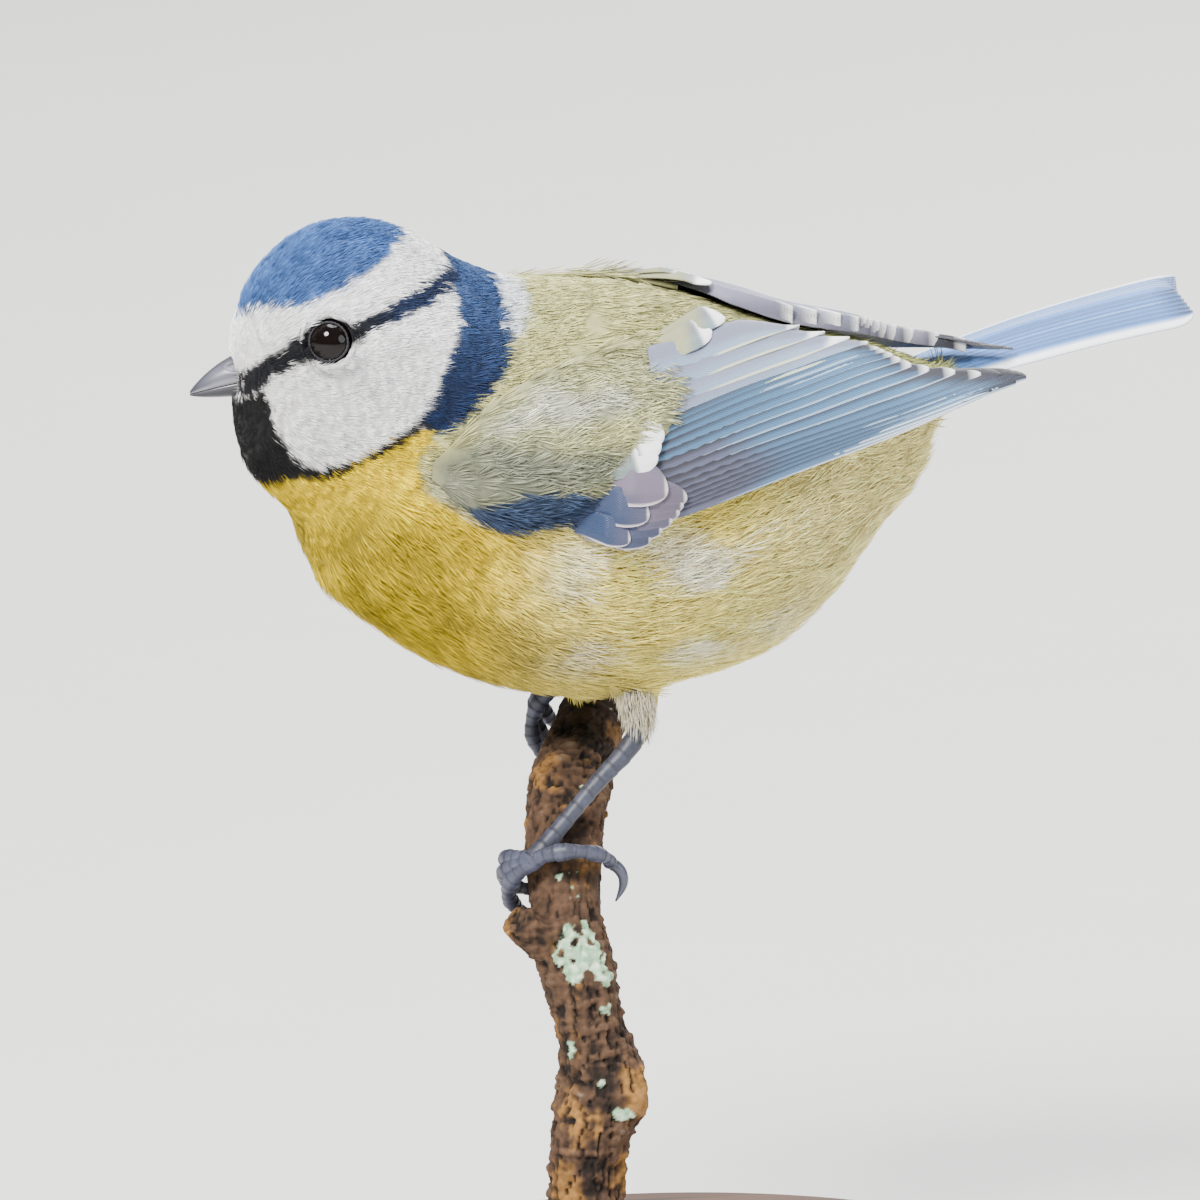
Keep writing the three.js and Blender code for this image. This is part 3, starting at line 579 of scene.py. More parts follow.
def plumageAt(p, jitter):  # linear colour of the plumage at points in mm
    near = nearSide(p)
    x, z = near[:, 0], near[:, 2]
    back = p[:, 0]
    high = leanIn(p)[:, 2]
    edge = 0.26 * jitter
    inside = {name: insideBy(markShapes[name], x, z) + edge for name in markSet}
    c = plumageSet
    # breast, belly, flanks and vent
    colour = np.repeat(toLinear(c["yellow"])[None, :], len(p), 0)
    pale = smooth(-34, -16, back) * (0.35 + 0.65 * smooth(98, 84, high))
    colour = paint(colour, c["yellowPale"], 0.85 * pale)
    belly = smooth(-28, -14, back) * smooth(107, 98, high)
    colour = paint(colour, c["belly"], belly * (0.75 + 0.25 * wave(p, 7, 1.0)))
    # Painted shade: the front of the lower breast and the lower belly are darkened as if in shade
    front = smooth(-18, -34, back) * smooth(100, 90, p[:, 2])
    front = front + smooth(-4, -26, back) * smooth(88, 76, p[:, 2])
    colour = paint(colour, c["yellowPaintedShade"], 0.75 * np.clip(front, 0, 1) * (0.7 + 0.3 * wave(p, 2.5, 9.0)))
    streak = smooth(0.15, 0.55, wave(p, 3.4, 4.0) + 0.25 * jitter) * smooth(-24, -12, back)
    colour = paint(colour, c["fluff"], 0.75 * streak * smooth(100, 94, high) * smooth(76, 84, high))
    colour = paint(colour, c["ventPale"], 0.95 * smooth(-2, 12, back))
    colour = paint(colour, c["thigh"], smooth(73.5, 70.0, p[:, 2]) * smooth(-14, -8, back))
    # back and rump
    olive = smooth(96, 108, high)[:, None]
    upper = mix(toLinear(c["mantleGrey"])[None, :], toLinear(c["mantle"])[None, :], olive)
    upper = mix(upper, toLinear(c["rump"])[None, :], smooth(0, 12, back)[:, None])
    colour = mix(colour, upper, smooth(-0.5, 0.7, inside["sideGrey"])[:, None])
    # head
    colour = paint(colour, c["white"], smooth(-0.2, 0.2, inside["headAll"]))
    cap = smooth(-0.25, 0.35, inside["cap"])
    flecks = smooth(0.1, 0.9, 0.5 + 0.5 * wave(p, 1.1, 3.0) + 0.25 * jitter)
    colour = paint(colour, c["capBlue"], cap)
    colour = paint(colour, c["capDeep"], 0.6 * cap * flecks)
    colour = paint(colour, c["nape"], smooth(-0.6, 0.5, inside["nape"]) * 0.85)
    ring = mix(toLinear(c["navy"])[None, :], toLinear(c["navyTop"])[None, :], smooth(108, 121, z)[:, None])
    ring = mix(ring, toLinear(c["navyLow"])[None, :], smooth(106, 99, z)[:, None])
    colour = mix(colour, ring, smooth(-0.3, 0.3, inside["collar"])[:, None])
    colour = paint(colour, c["white"], smooth(-0.2, 0.25, inside["cheek"]))
    line = smooth(-0.2, 0.25, inside["eyeLine"])
    colour = paint(colour, c["lineDark"], line)
    colour = paint(colour, c["navy"], 0.8 * line * smooth(-40, -34, back))
    return paint(colour, c["bibBlack"], smooth(-0.2, 0.3, inside["bib"]))


armMarks = {
    "armGrey": [
        (466, 402), (540, 385), (620, 390), (640, 404), (610, 424), (540, 430), (500, 440), (468, 432),
    ],
    "armLower": [
        (415, 440), (480, 438), (560, 455), (620, 448), (650, 470), (600, 490), (540, 500), (480, 514),
        (430, 508),
    ],
    "breastOver": [
        (380, 440), (424, 480), (432, 500), (462, 518), (500, 538), (530, 556), (560, 600), (380, 600),
    ],
    "wristBlue": [
        (430, 507), (470, 509), (505, 503), (556, 488), (700, 500), (660, 570), (560, 580), (490, 560),
        (450, 530),
    ],
}


def armTint(p, jitter):  # the small feathers over the folded arm
    near = nearSide(p)
    c = plumageSet
    edge = 0.3 * jitter
    colour = plumageAt(p, jitter)
    inside = {name: insideBy(markShapes[name], near[:, 0], near[:, 2]) + edge for name in armMarks}
    shades = (0.3 + 0.3 * wave(p, 4, 5.0))[:, None]
    olive = mix(toLinear(c["mantle"])[None, :], toLinear(c["mantleGrey"])[None, :], shades)
    colour = mix(colour, olive, smooth(-30, -26, p[:, 0])[:, None])
    silver = smooth(-1.0, 1.6, inside["armGrey"] + 0.6 * wave(p, 1.6, 3.0))
    colour = paint(colour, c["armSilver"], 0.65 * silver)
    colour = paint(colour, c["armSlate"], 0.8 * smooth(-1.2, 1.4, inside["armLower"]))
    colour = paint(colour, c["wrist"], smooth(-0.3, 0.5, inside["wristBlue"]))
    return paint(colour, c["yellow"], smooth(-0.4, 0.4, inside["breastOver"] + 0.3 * jitter))


def traceMarkings(tree, armTree):
    for name, shape in markSet.items():
        markShapes[name] = [sidePlace(tree, *spot) for spot in shape]
    for name, shape in armMarks.items():
        markShapes[name] = [sidePlace(armTree, *spot) for spot in shape]


# Lie of the coat
lieSet = {
    "arm": (16.0, 0.0, 104.0), "armSide": 9,  # where the arm's tufts point, and mm to either side
    "bill": (-52.0, -3.0, 108.8), "tail": (34.0, 2.0, 106.0),
    "breast": (0.72, 0.0, -0.69), "shank": (-0.30, 0.0, -0.95),  # ways down the breast and the shanks
}


def alongSkin(way, normal):
    return unit(way - normal * np.sum(way * normal, 1)[:, None])


def armFlow(p, normal):
    back = np.array(lieSet["arm"])
    aside = np.array([0, lieSet["armSide"], 0])
    aim = np.where(p[:, 1:2] < headMidY, back - aside, back + aside)
    return alongSkin(unit(aim - p), normal)


def flowAt(p, normal):  # from the bill back to the tail, down the breast and down the shanks
    bill = np.array(lieSet["bill"])
    fromBill = unit(p - bill)
    toTail = unit(np.array(lieSet["tail"]) - p)
    droop = np.array([lieSet["breast"]])
    trunk = smooth(16, 34, np.linalg.norm(p - bill, axis=1))[:, None]
    breast = (smooth(104, 94, p[:, 2]) * smooth(-8, -30, p[:, 0]))[:, None]
    body = unit(mix(toTail, np.repeat(droop, len(p), 0), 0.7 * breast))
    way = mix(fromBill, body, trunk)
    low = (smooth(74.5, 71.5, p[:, 2]) * smooth(-16, -12, p[:, 0]))[:, None]
    return alongSkin(mix(way, np.array([lieSet["shank"]]), low), normal)


# Coat
coatParts = ("dense", "blades", "length", "width", "lift", "fan", "sections", "grain")
coatRows = {
    # blades a mm2, blades a tuft, blade length and width, lift and fan in degrees, sections, uneven tone
    "face": (24, 4, 1.15, 0.09, 17, 16, 1, 0.10),
    "crown": (17, 5, 2.3, 0.10, 12, 12, 2, 0.18),
    "cheek": (18, 5, 2.2, 0.10, 14, 16, 1, 0.10),
    "throat": (16, 5, 2.5, 0.11, 17, 20, 1, 0.16),
    "collar": (15, 6, 3.2, 0.12, 11, 16, 2, 0.16),
    "mantle": (5.6, 9, 5.4, 0.15, 5, 22, 2, 0.16),
    "rump": (5.6, 8, 5.0, 0.16, 8, 24, 2, 0.14),
    "breast": (9, 7, 4.9, 0.12, 13, 22, 2, 0.20),
    "belly": (7.5, 7, 6.0, 0.12, 13, 26, 2, 0.16),
    "flankLeft": (7.5, 7, 6.2, 0.12, 12, 26, 2, 0.16),
    "flankRight": (7.5, 7, 6.2, 0.12, 12, 26, 2, 0.16),
    "vent": (7.5, 7, 5.0, 0.13, 13, 28, 2, 0.14),
}
coatSet = {region: dict(zip(coatParts, row)) for region, row in coatRows.items()}
thinSet = {"share": 0.32, "z": (75.5, 72.0), "x": (-16, -12)}  # the shorter coat round the shanks
regionSet = {"bill": (-51.5, -3.0, 108.5), "neckX": -31, "neckSlope": 0.675, "neckZ": 107, "collar": 9.5}


def lengthAt(p):
    return mix(1.0, thinSet["share"], smooth(*thinSet["z"], p[:, 2]) * smooth(*thinSet["x"], p[:, 0]))


def regionOf(p):
    d = np.linalg.norm(p - np.array(regionSet["bill"]), axis=1)
    q = leanIn(p)
    names = np.full(len(p), "belly", dtype=object)
    names[(q[:, 2] > 82)] = "flankLeft"
    names[(q[:, 2] > 82) & (q[:, 1] > 0)] = "flankRight"
    names[(p[:, 0] < -18) & (p[:, 2] < 104)] = "breast"
    names[(p[:, 0] > 6) & (q[:, 2] < 104)] = "vent"
    names[(q[:, 2] > 104) & (p[:, 0] > -26)] = "mantle"
    names[(q[:, 2] > 100) & (p[:, 0] > 2)] = "rump"
    frontNeck = regionSet["neckX"] + regionSet["neckSlope"] * (p[:, 2] - regionSet["neckZ"])
    behindNeck = (p[:, 0] > frontNeck) & (p[:, 0] < frontNeck + regionSet["collar"])
    names[behindNeck & (p[:, 2] > 97)] = "collar"
    head = p[:, 0] <= frontNeck
    names[head] = "cheek"
    names[head & (p[:, 2] > 114.5)] = "crown"
    names[head & (p[:, 2] < 103.5)] = "throat"
    names[head & (d < 7.5)] = "face"
    return names


bladeSet = {
    "sections": {1: ([0.45], [1.0]), 2: ([0.28, 0.68], [0.85, 1.0])},  # places along a blade, and widths
    "ridge": 0.35, "patch": 0.003, "ends": 0.0014,  # height to width, and the tuft's patch on the unwrap
}


def bladeMesh(
    name, root, way, normal, length, width, lift, tintRoot, tintTip, uvRoot, blade, blades, sections
):
    side = unit(np.cross(normal, way))
    up = np.sin(lift)[:, None]
    n = len(root)
    stops, wide = bladeSet["sections"][sections]
    patch = bladeSet["patch"]

    def centre(t):
        rise = up * (t - 0.55 * t * t)
        return root + (way * t * (1 - 0.12 * t) + normal * rise) * length[:, None]

    def patchAt(u, across):
        return uvRoot + np.stack([np.full(n, u), patch * ((blade + across) / blades - 0.5)], 1)

    verts = [root]
    tints = [tintRoot]
    uvs = [patchAt(-bladeSet["ends"], 0.5)]
    for t, w in zip(stops, wide):
        c = centre(t)
        half = side * (0.5 * width * w)[:, None]
        ridge = normal * (bladeSet["ridge"] * width * w)[:, None]
        shade = mix(tintRoot, tintTip, smooth(0.0, 0.62, t))
        for offset, across in ((-half, 0.2), (ridge, 0.5), (half, 0.8)):
            verts.append(c + offset)
            tints.append(shade)
            uvs.append(patchAt(patch * (t - 0.5), across))
    verts.append(centre(1.0))
    tints.append(tintTip)
    uvs.append(patchAt(bladeSet["ends"], 0.5))
    count = len(verts)
    co = np.stack(verts, 1).reshape(-1, 3)
    tint = np.stack(tints, 1).reshape(-1, 3)
    uv = np.stack(uvs, 1).reshape(-1, 2)
    faces = [(0, 2, 1), (0, 3, 2), (0, 1, 3)]
    for s in range(len(stops) - 1):
        a = 1 + 3 * s
        for j in range(3):
            k = (j + 1) % 3
            faces.append((a + j, a + k, a + 3 + k))
            faces.append((a + j, a + 3 + k, a + 3 + j))
    a = 1 + 3 * (len(stops) - 1)
    last = count - 1
    faces += [(a, a + 1, last), (a + 1, a + 2, last), (a + 2, a, last)]
    every = (np.array(faces)[None] + (np.arange(n) * count)[:, None, None]).reshape(-1, 3)
    return meshFrom(name, co * mm, every, uv, tint)


def scatterRoots(mesh, densityOf, tuftBlades):  # tuft roots spread evenly over a triangulated mesh
    mesh.calc_loop_triangles()
    tri = np.empty(len(mesh.loop_triangles) * 3, dtype=np.int32)
    mesh.loop_triangles.foreach_get("vertices", tri)
    tri = tri.reshape(-1, 3)
    loops = np.empty(len(mesh.loop_triangles) * 3, dtype=np.int32)
    mesh.loop_triangles.foreach_get("loops", loops)
    loops = loops.reshape(-1, 3)
    uvAll = np.empty(len(mesh.loops) * 2, dtype=np.float32)
    mesh.uv_layers["OFBake"].data.foreach_get("uv", uvAll)
    uvAll = uvAll.reshape(-1, 2).astype(np.float64)
    co = readCo(mesh) / mm
    normals = readNormals(mesh)
    a, b, c = co[tri[:, 0]], co[tri[:, 1]], co[tri[:, 2]]
    area = 0.5 * np.linalg.norm(np.cross(b - a, c - a), axis=1)
    centre = (a + b + c) / 3
    want = area * densityOf(centre) / tuftBlades
    count = np.floor(want + rng.random(len(want))).astype(int)
    pickTri = np.repeat(np.arange(len(tri)), count)
    r1 = np.sqrt(rng.random(len(pickTri)))
    r2 = rng.random(len(pickTri))
    w = np.stack([1 - r1, r1 * (1 - r2), r1 * r2], 1)
    t = tri[pickTri]
    root = sum(co[t[:, k]] * w[:, k : k + 1] for k in range(3))
    normal = unit(sum(normals[t[:, k]] * w[:, k : k + 1] for k in range(3)))
    uv = sum(uvAll[loops[pickTri][:, k]] * w[:, k : k + 1] for k in range(3))
    return root, normal, uv


eyeSet = {
    "at": (-43.13, -14.4, 114.56), "out": (-0.316, -0.935, 0.162), "radius": 2.7, "sink": 1.75,
    "bare": 2.75, "bareDeep": 4.0,  # no tufts grow this near
    "lid": 2.10, "lidOut": 0.10, "bead": 0.085, "ripple": 0.03, "beads": 30, "tall": 1.3,
}
billRootSet = {"half": (1.9, 2.1), "z": 108.4, "x": -48}  # no tufts grow inside this oval


def eyeFrames():
    made = []
    for side in (-1, 1):
        at = np.array(eyeSet["at"])
        out = unit(np.array(eyeSet["out"]))
        if side > 0:
            at = at * [1, 0, 1] + [0, 2 * headMidY - at[1], 0]
            out = out * [1, -1, 1]
        made.append((side, at, out, at - out * eyeSet["sink"]))
    return made


def keepOff(p, covered):  # tufts are left out on the eyes, inside the bill's root and well under the wings
    keep = np.ones(len(p), dtype=bool)
    for _, at, out, _ in eyeFrames():
        rel = p - at
        flat = rel - out * (rel @ out)[:, None]
        near = np.linalg.norm(flat, axis=1) < eyeSet["bare"]
        keep &= ~(near & (np.linalg.norm(rel, axis=1) < eyeSet["bareDeep"]))
    halfY, halfZ = billRootSet["half"]
    oval = np.hypot((p[:, 1] - headMidY) / halfY, (p[:, 2] - billRootSet["z"]) / halfZ) < 1
    keep &= ~(oval & (p[:, 0] < billRootSet["x"]))
    keep &= ~covered(p)
    return keep


underSet = {
    "x": [-28, -22, -10, 0, 12, 26], "lower": [66, 80, 80, 68, 54, 34], "upper": [66, 56, 44, 34, 26, 22],
    "margin": 6, "front": -24, "rear": 26,
}


def turnAt(p):  # degrees round from the middle of the back
    q = leanIn(p)
    return np.degrees(np.arctan2(np.abs(q[:, 1]), q[:, 2] - axisZ))


def underWing(p):  # deep under the folded wings, where nothing shows
    s = underSet
    turn = turnAt(p)
    lower = np.interp(p[:, 0], s["x"], s["lower"])
    upper = np.interp(p[:, 0], s["x"], s["upper"])
    between = (turn < lower - s["margin"]) & (turn > upper + s["margin"])
    return between & (p[:, 0] > s["front"]) & (p[:, 0] < s["rear"])


tuftSet = {"sway": 0.10, "drift": 0.14, "size": (0.8, 1.15), "spacing": 0.054, "sink": 0.08, "quick": 0.35}


def growTufts(mesh, name, s, densityOf, keepOf, flowOf, tintOf, material):
    dense = s["dense"] * 1.0
    root, normal, uv = scatterRoots(mesh, lambda c: densityOf(c) * dense, s["blades"])
    keep = keepOf(root)
    root, normal, uv = root[keep], normal[keep], uv[keep]
    tufts = len(root)
    blades = s["blades"]
    way = flowOf(root, normal)
    side = np.cross(normal, way)
    sway = rng.normal(0, tuftSet["sway"], tufts)
    way = unit(way + side * (sway + tuftSet["drift"] * wave(root, 5.0, 2.0))[:, None])
    size = rng.uniform(*tuftSet["size"], tufts)
    clump = rng.normal(0, 1, tufts)
    rep = np.repeat(np.arange(tufts), blades)
    blade = np.tile(np.arange(blades), tufts).astype(float)
    across = (blade + 0.5) / blades * 2 - 1
    root2 = root[rep] + side[rep] * (across * tuftSet["spacing"] * blades)[:, None]
    turn = np.radians(s["fan"]) * across + rng.normal(0, 0.06, len(rep))
    way2 = unit(way[rep] * np.cos(turn)[:, None] + side[rep] * np.sin(turn)[:, None])
    length = s["length"] * lengthAt(root)[rep] * size[rep] * (1 - 0.22 * across**2)
    length = length * rng.uniform(0.85, 1.1, len(rep))
    width = s["width"] * rng.uniform(0.8, 1.2, len(rep))
    lift = s["lift"] * rng.uniform(0.75, 1.3, tufts)[rep] * rng.uniform(0.85, 1.15, len(rep))
    tint = tintOf(root2 + way2 * (length * 0.5)[:, None], clump[rep])
    tone = np.exp(0.10 * clump[rep] + rng.normal(0, s["grain"], len(rep)))[:, None]
    light = smooth(0.25, 0.6, tint.mean(1))[:, None]  # dark feathers keep darker roots
    piece = bladeMesh(
        name, root2 - normal[rep] * tuftSet["sink"], way2, normal[rep], length, width, np.radians(lift),
        tint * mix(0.42, 0.78, light), tint * tone * 1.05, uv[rep], blade, blades, s["sections"],
    )
    finishPiece(piece, material)
    print(name, "tufts", tufts, "triangles", len(piece.data.polygons))
    return len(piece.data.polygons)


def growCoat(skin, material):
    total = 0
    for region, s in coatSet.items():
        total += growTufts(
            skin.data, "coat_" + region, s, lambda c: (regionOf(c) == region) * 1.0,
            lambda p: keepOff(p, underWing), flowAt, plumageAt, material,
        )
    print("coat triangles", total)


armCoat = dict(zip(coatParts, (6.2, 9, 4.5, 0.14, 5, 26, 2, 0.24)))
armEnd = {  # where the arm's tufts end, as x at degrees round from the back
    "angle": [15, 24, 29, 38, 45, 51, 62, 66, 80],
    "x": [-5.0, -5.0, -3.2, -3.2, -4.6, -11.5, -14.0, -16.0, -18.5],
    "ragged": 0.4,
}


def growArm(arm, label, material):
    def outside(c):
        return (formField(c) > -0.9) * 1.0

    def short(p):  # the rows of wing feathers start where the small ones end
        end = np.interp(turnAt(p), armEnd["angle"], armEnd["x"])
        return p[:, 0] < end + rng.normal(0, armEnd["ragged"], len(p))

    name = "armCoat" + label
    growTufts(arm.data, name, armCoat, outside, short, armFlow, armTint, material)


# Bristles that lie forward over the bill's root
bristleSet = {"count": 260, "length": 1.9, "width": 0.06, "ring": (2.15, 2.3), "x": -50.3, "z": 108.5}


def growBristles(material):
    n = bristleSet["count"]
    turn = rng.uniform(-0.35, math.pi + 0.35, n)
    a, b = bristleSet["ring"]
    jitter = rng.uniform(0.85, 1.35, n)
    x = bristleSet["x"] + rng.uniform(-0.2, 1.4, n)
    y = headMidY + a * jitter * np.cos(turn)
    z = bristleSet["z"] + b * jitter * np.sin(turn)
    root = np.stack([x, y, z], 1)
    normal = unit(np.stack([np.zeros(n) - 0.2, np.cos(turn), np.sin(turn)], 1))
    way = unit(np.stack([np.full(n, -1.0), rng.normal(0, 0.16, n), rng.normal(-0.12, 0.16, n)], 1))
    way = alongSkin(way, normal)
    length = bristleSet["length"] * rng.uniform(0.6, 1.15, n)
    tint = plumageAt(root + [1.2, 0, 0], rng.normal(0, 1, n)) * rng.uniform(0.5, 1.0, n)[:, None]
    width = np.full(n, bristleSet["width"])
    lift = rng.uniform(0.05, 0.3, n)
    uv = np.stack([0.5 + 0.4 * np.cos(turn), 0.5 + 0.4 * np.sin(turn)], 1)
    piece = bladeMesh(
        "bristles", root, way, normal, length, width, lift, tint * 0.8, tint, uv, np.zeros(n), 1, 2
    )
    finishPiece(piece, material)


# Closed meshes from rows of rings
def ringFaces(rows, around):  # quads of a closed tube, its ends shut by strips
    i = np.arange(rows - 1)[:, None] * around
    j = np.arange(around)[None, :]
    k = (j + 1) % around
    quads = np.stack([i + j, i + k, i + around + k, i + around + j], -1).reshape(-1, 4)
    caps = []
    last = (rows - 1) * around
    low, high = 0, around - 1
    while high - low > 1:
        nextLow, nextHigh = low + 1, high - 1
        if nextLow < nextHigh:
            caps.append((low, high, nextHigh, nextLow))
            caps.append((last + low, last + nextLow, last + nextHigh, last + high))
        else:
            caps.append((low, high, nextLow, nextLow))
            caps.append((last + low, last + nextLow, last + high, last + high))
        low, high = nextLow, nextHigh
    return quads, caps


def ringMesh(name, rings, tint=None, uvs=None):  # rings is (rows, around, 3) in mm
    rows, around = rings.shape[:2]
    quads, caps = ringFaces(rows, around)
    co = rings.reshape(-1, 3)
    faces = [tuple(q) for q in quads] + [tuple(dict.fromkeys(c)) for c in caps]
    mesh = bpy.data.meshes.new(name)
    mesh.from_pydata([tuple(v) for v in co * mm], [], faces)
    mesh.update()
    tri = np.array([(f[0], f[i], f[i + 1]) for f in faces for i in range(1, len(f) - 1)])
    volume = np.sum(co[tri[:, 0]] * np.cross(co[tri[:, 1]], co[tri[:, 2]]))
    if volume < 0:
        mesh.flip_normals()
    loops = np.empty(len(mesh.loops), dtype=np.int32)
    mesh.loops.foreach_get("vertex_index", loops)
    for key, values in (uvs or {}).items():
        layer = mesh.uv_layers.new(name=key)
        uv = np.ascontiguousarray(values.reshape(-1, 2)[loops], dtype=np.float32)
        layer.data.foreach_set("uv", uv.ravel())
    if tint is not None:
        setTint(mesh, tint.reshape(-1, 3))
    obj = bpy.data.objects.new(name, mesh)
    bpy.context.scene.collection.objects.link(obj)
    smoothShade(obj)
    return obj


# Long feathers: a thin cambered vane with its shaft, closed all round
vaneSet = {
    "along": 30, "across": 14, "crowding": 1.7, "thin": 0.13, "top": 0.5, "shaft": 0.08, "shaftAt": 0.26,
    "innerEdge": 8.0, "tilt": 0.1, "camber": 0.16,
}


def vaneColumns():  # places across a vane, the outer edge first, closer together at the edge and the shaft
    v = np.linspace(0, 1, vaneSet["across"])
    return v**vaneSet["crowding"]


def vaneShell(name, top, lower, s, columns, tintTop, tintUnder, cell, cells, lengthMm, widthMm):
    rows, across = top.shape[:2]
    rings = np.concatenate([top, lower[:, ::-1]], 1)
    tint = np.concatenate([tintTop, tintUnder[:, ::-1]], 1)
    u = np.repeat(s[:, None], across, 1)
    v = np.repeat(columns[None, :], rows, 0)
    col, row = cell % cells, cell // cells
    size = 1.0 / cells
    bakeTop = np.stack([(col + 0.03 + 0.94 * u) * size, (row + 0.03 + 0.42 * v) * size], -1)
    bakeUnder = np.stack([(col + 0.03 + 0.94 * u) * size, (row + 0.53 + 0.42 * v) * size], -1)
    bake = np.concatenate([bakeTop, bakeUnder[:, ::-1]], 1)
    grain = np.stack([u * lengthMm, (v - vaneSet["shaftAt"]) * widthMm], -1)
    grain = np.concatenate([grain, grain[:, ::-1]], 1)
    return ringMesh(name, rings, tint, {"OFBake": bake, "vane": grain})


# Rows of wing feathers, read from the lowest, outermost one up: x in mm, degrees round from the back
wingRows = {
    "flight": {
        "count": 18, "width": [3.4, 3.6, 3.8, 4.0, 4.4, 5.2, 6.0],
        "rootX": [-5.3, -5.0, -5.8, -7.9, -7.6, -6.0, -2.5],
        "rootAngle": [74.8, 71, 66.2, 60.6, 53.5, 46.5, 29.5],
        "tipX": [27.3, 34.3, 30, 22.4, 19.3, 16.8, 9.6], "tipAngle": [35.6, 23.6, 24, 22, 16.8, 14.2, 9.1],
        "rootLift": [0.8, 0.72], "tipLift": [0.8, 1.35], "sink": 6, "bow": [3.6, 1.5],
    },
    "greater": {
        "count": 10, "width": [3.8, 4.2, 4.4, 4.6],
        "rootX": [-15, -13.5, -11, -7], "rootAngle": [64, 54, 42, 28],
        "tipX": [-8.4, -7.0, -4.4, 1.0], "tipAngle": [61.5, 52, 39, 16],
        "rootLift": [0.9, -0.4], "tipLift": [1.75, 0.95], "sink": 2, "bow": [0, 0],
    },
    "primaryCoverts": {
        "count": 6, "width": [3.6, 3.4, 3.0], "rootX": [-17, -17, -17], "rootAngle": [71, 77, 82],
        "tipX": [-5.2, -6.4, -9.2], "tipAngle": [73, 78, 84],
        "rootLift": [-1.0, -2.0], "tipLift": [1.5, 1.55], "sink": 2, "bow": [0.5, 0.5],
    },
    "alula": {
        "count": 3, "width": [3.6, 5.4], "rootX": [-18.5, -18], "rootAngle": [79, 69],
        "tipX": [-11.5, -7.4], "tipAngle": [84, 72],
        "rootLift": [-2.4, -1.0], "tipLift": [1.8, 2.0], "sink": 2, "bow": [0, 0],
    },
}
tuckSet = {"from": 0.3, "to": 0.85, "depth": 0.65}  # middle coverts, sunk under the arm's small feathers
foldSet = {"from": 0.3, "web": (0.72, 1.0), "height": 0.1}  # inner webs that turn down towards the back
tertialFrom = 0.80

wingInk = {
    "edge": (160, 182, 206), "edgeWhite": (246, 244, 242), "outer": (84, 116, 150),
    "outerInner": (74, 112, 146), "inner": (34, 32, 42), "baseMauve": (88, 80, 98),
    "tipDark": (40, 38, 48), "tertial": (132, 146, 168), "tertialInner": (96, 92, 110),
    "tertialEdge": (206, 210, 172), "coverOuter": (84, 116, 150), "coverGreen": (116, 134, 132),
    "white": (252, 252, 254), "mauve": (106, 98, 116), "alulaBlue": (40, 58, 92), "cream": (226, 218, 220),
    "under": (134, 134, 146), "farMauvePaintedLight": (108, 106, 124), "coverOlive": (150, 150, 104),
}


def ink(name):
    return toLinear(wingInk[name])


def blend(base, name, amount):
    return mix(base, ink(name), np.clip(amount, 0, 1)[..., None])


def evenTint(colour, like):
    return np.broadcast_to(colour, (*like.shape, 3)).copy()


def isTucked(t):
    return tuckSet["from"] < t < tuckSet["to"]


# In these, s runs along the feather, v across it from the outer edge, and t counts the feathers of the row
def flightTint(t, s, v):
    tertial = t > tertialFrom
    if tertial:
        tone = evenTint(mix(ink("outerInner"), ink("tertial"), 0.8), s)
        tone = blend(tone, "tertialInner", smooth(0.17, 0.34, v) * 0.65)
        tone = blend(tone, "tertialEdge", smooth(0.075, 0.03, v) * 0.8 * smooth(0.08, 0.2, s))
    else:
        tone = evenTint(mix(ink("outer"), ink("outerInner"), np.clip(t * 1.6, 0, 1)), s)
        tone = blend(tone, "baseMauve", 0.75 * smooth(0.34, 0.16, s) * (t < 0.5))
        tone = blend(tone, "tipDark", 0.9 * smooth(0.84, 0.95, s) * (0.4 + 0.6 * (t < 0.45)))
        # The dark inner web is partly the feather's own colour and partly painted shade where the next
        # feather lies over it
        tone = blend(tone, "inner", smooth(0.17, 0.34, v) * 0.95)
        tone = blend(tone, "edge", smooth(0.075, 0.03, v) * 0.85 * smooth(0.08, 0.2, s))
    if t < 0.20:
        middle = smooth(0.28, 0.45, s) * smooth(0.97, 0.8, s)
        tone = blend(tone, "edgeWhite", 0.8 * smooth(0.04, 0.015, v) * middle)
    if 0.32 < t <= 0.86:
        tone = blend(tone, "white", smooth(0.965, 0.985, s) * 0.8)
    if t > 0.86:
        tone = blend(tone, "white", smooth(0.86, 0.92, s + 0.05 * (0.5 - v)))
    return tone


def greaterTint(t, s, v):
    if isTucked(t):
        tone = evenTint(mix(ink("coverGreen"), ink("coverOlive"), 0.6), s)
        return blend(tone, "coverOlive", smooth(0.4, 0.9, s))
    tone = evenTint(mix(ink("coverOuter"), ink("coverGreen"), 0.45 + 0.3 * t), s)
    tone = blend(tone, "tertialInner", 0.7 * smooth(0.3, 0.6, v))
    tone = blend(tone, "coverOlive", (0.8 if t > 0.8 else 0.3) * smooth(0.8, 0.5, s))
    reach = 0.58 if t < 0.75 else 0.76
    return blend(tone, "white", smooth(reach, reach + 0.10, s + 0.12 * (v - 0.4)))


def primaryCovertsTint(t, s, v):
    tone = evenTint(mix(ink("mauve"), ink("alulaBlue"), smooth(0.35, 0.85, np.array(t)) * 0.8), s)
    tone = blend(tone, "tipDark", 0.35 * smooth(0.55, 0.9, s) * smooth(0.1, 0.3, v))
    return blend(tone, "cream", 0.75 * np.maximum(smooth(0.09, 0.02, v), smooth(0.955, 0.985, s)))


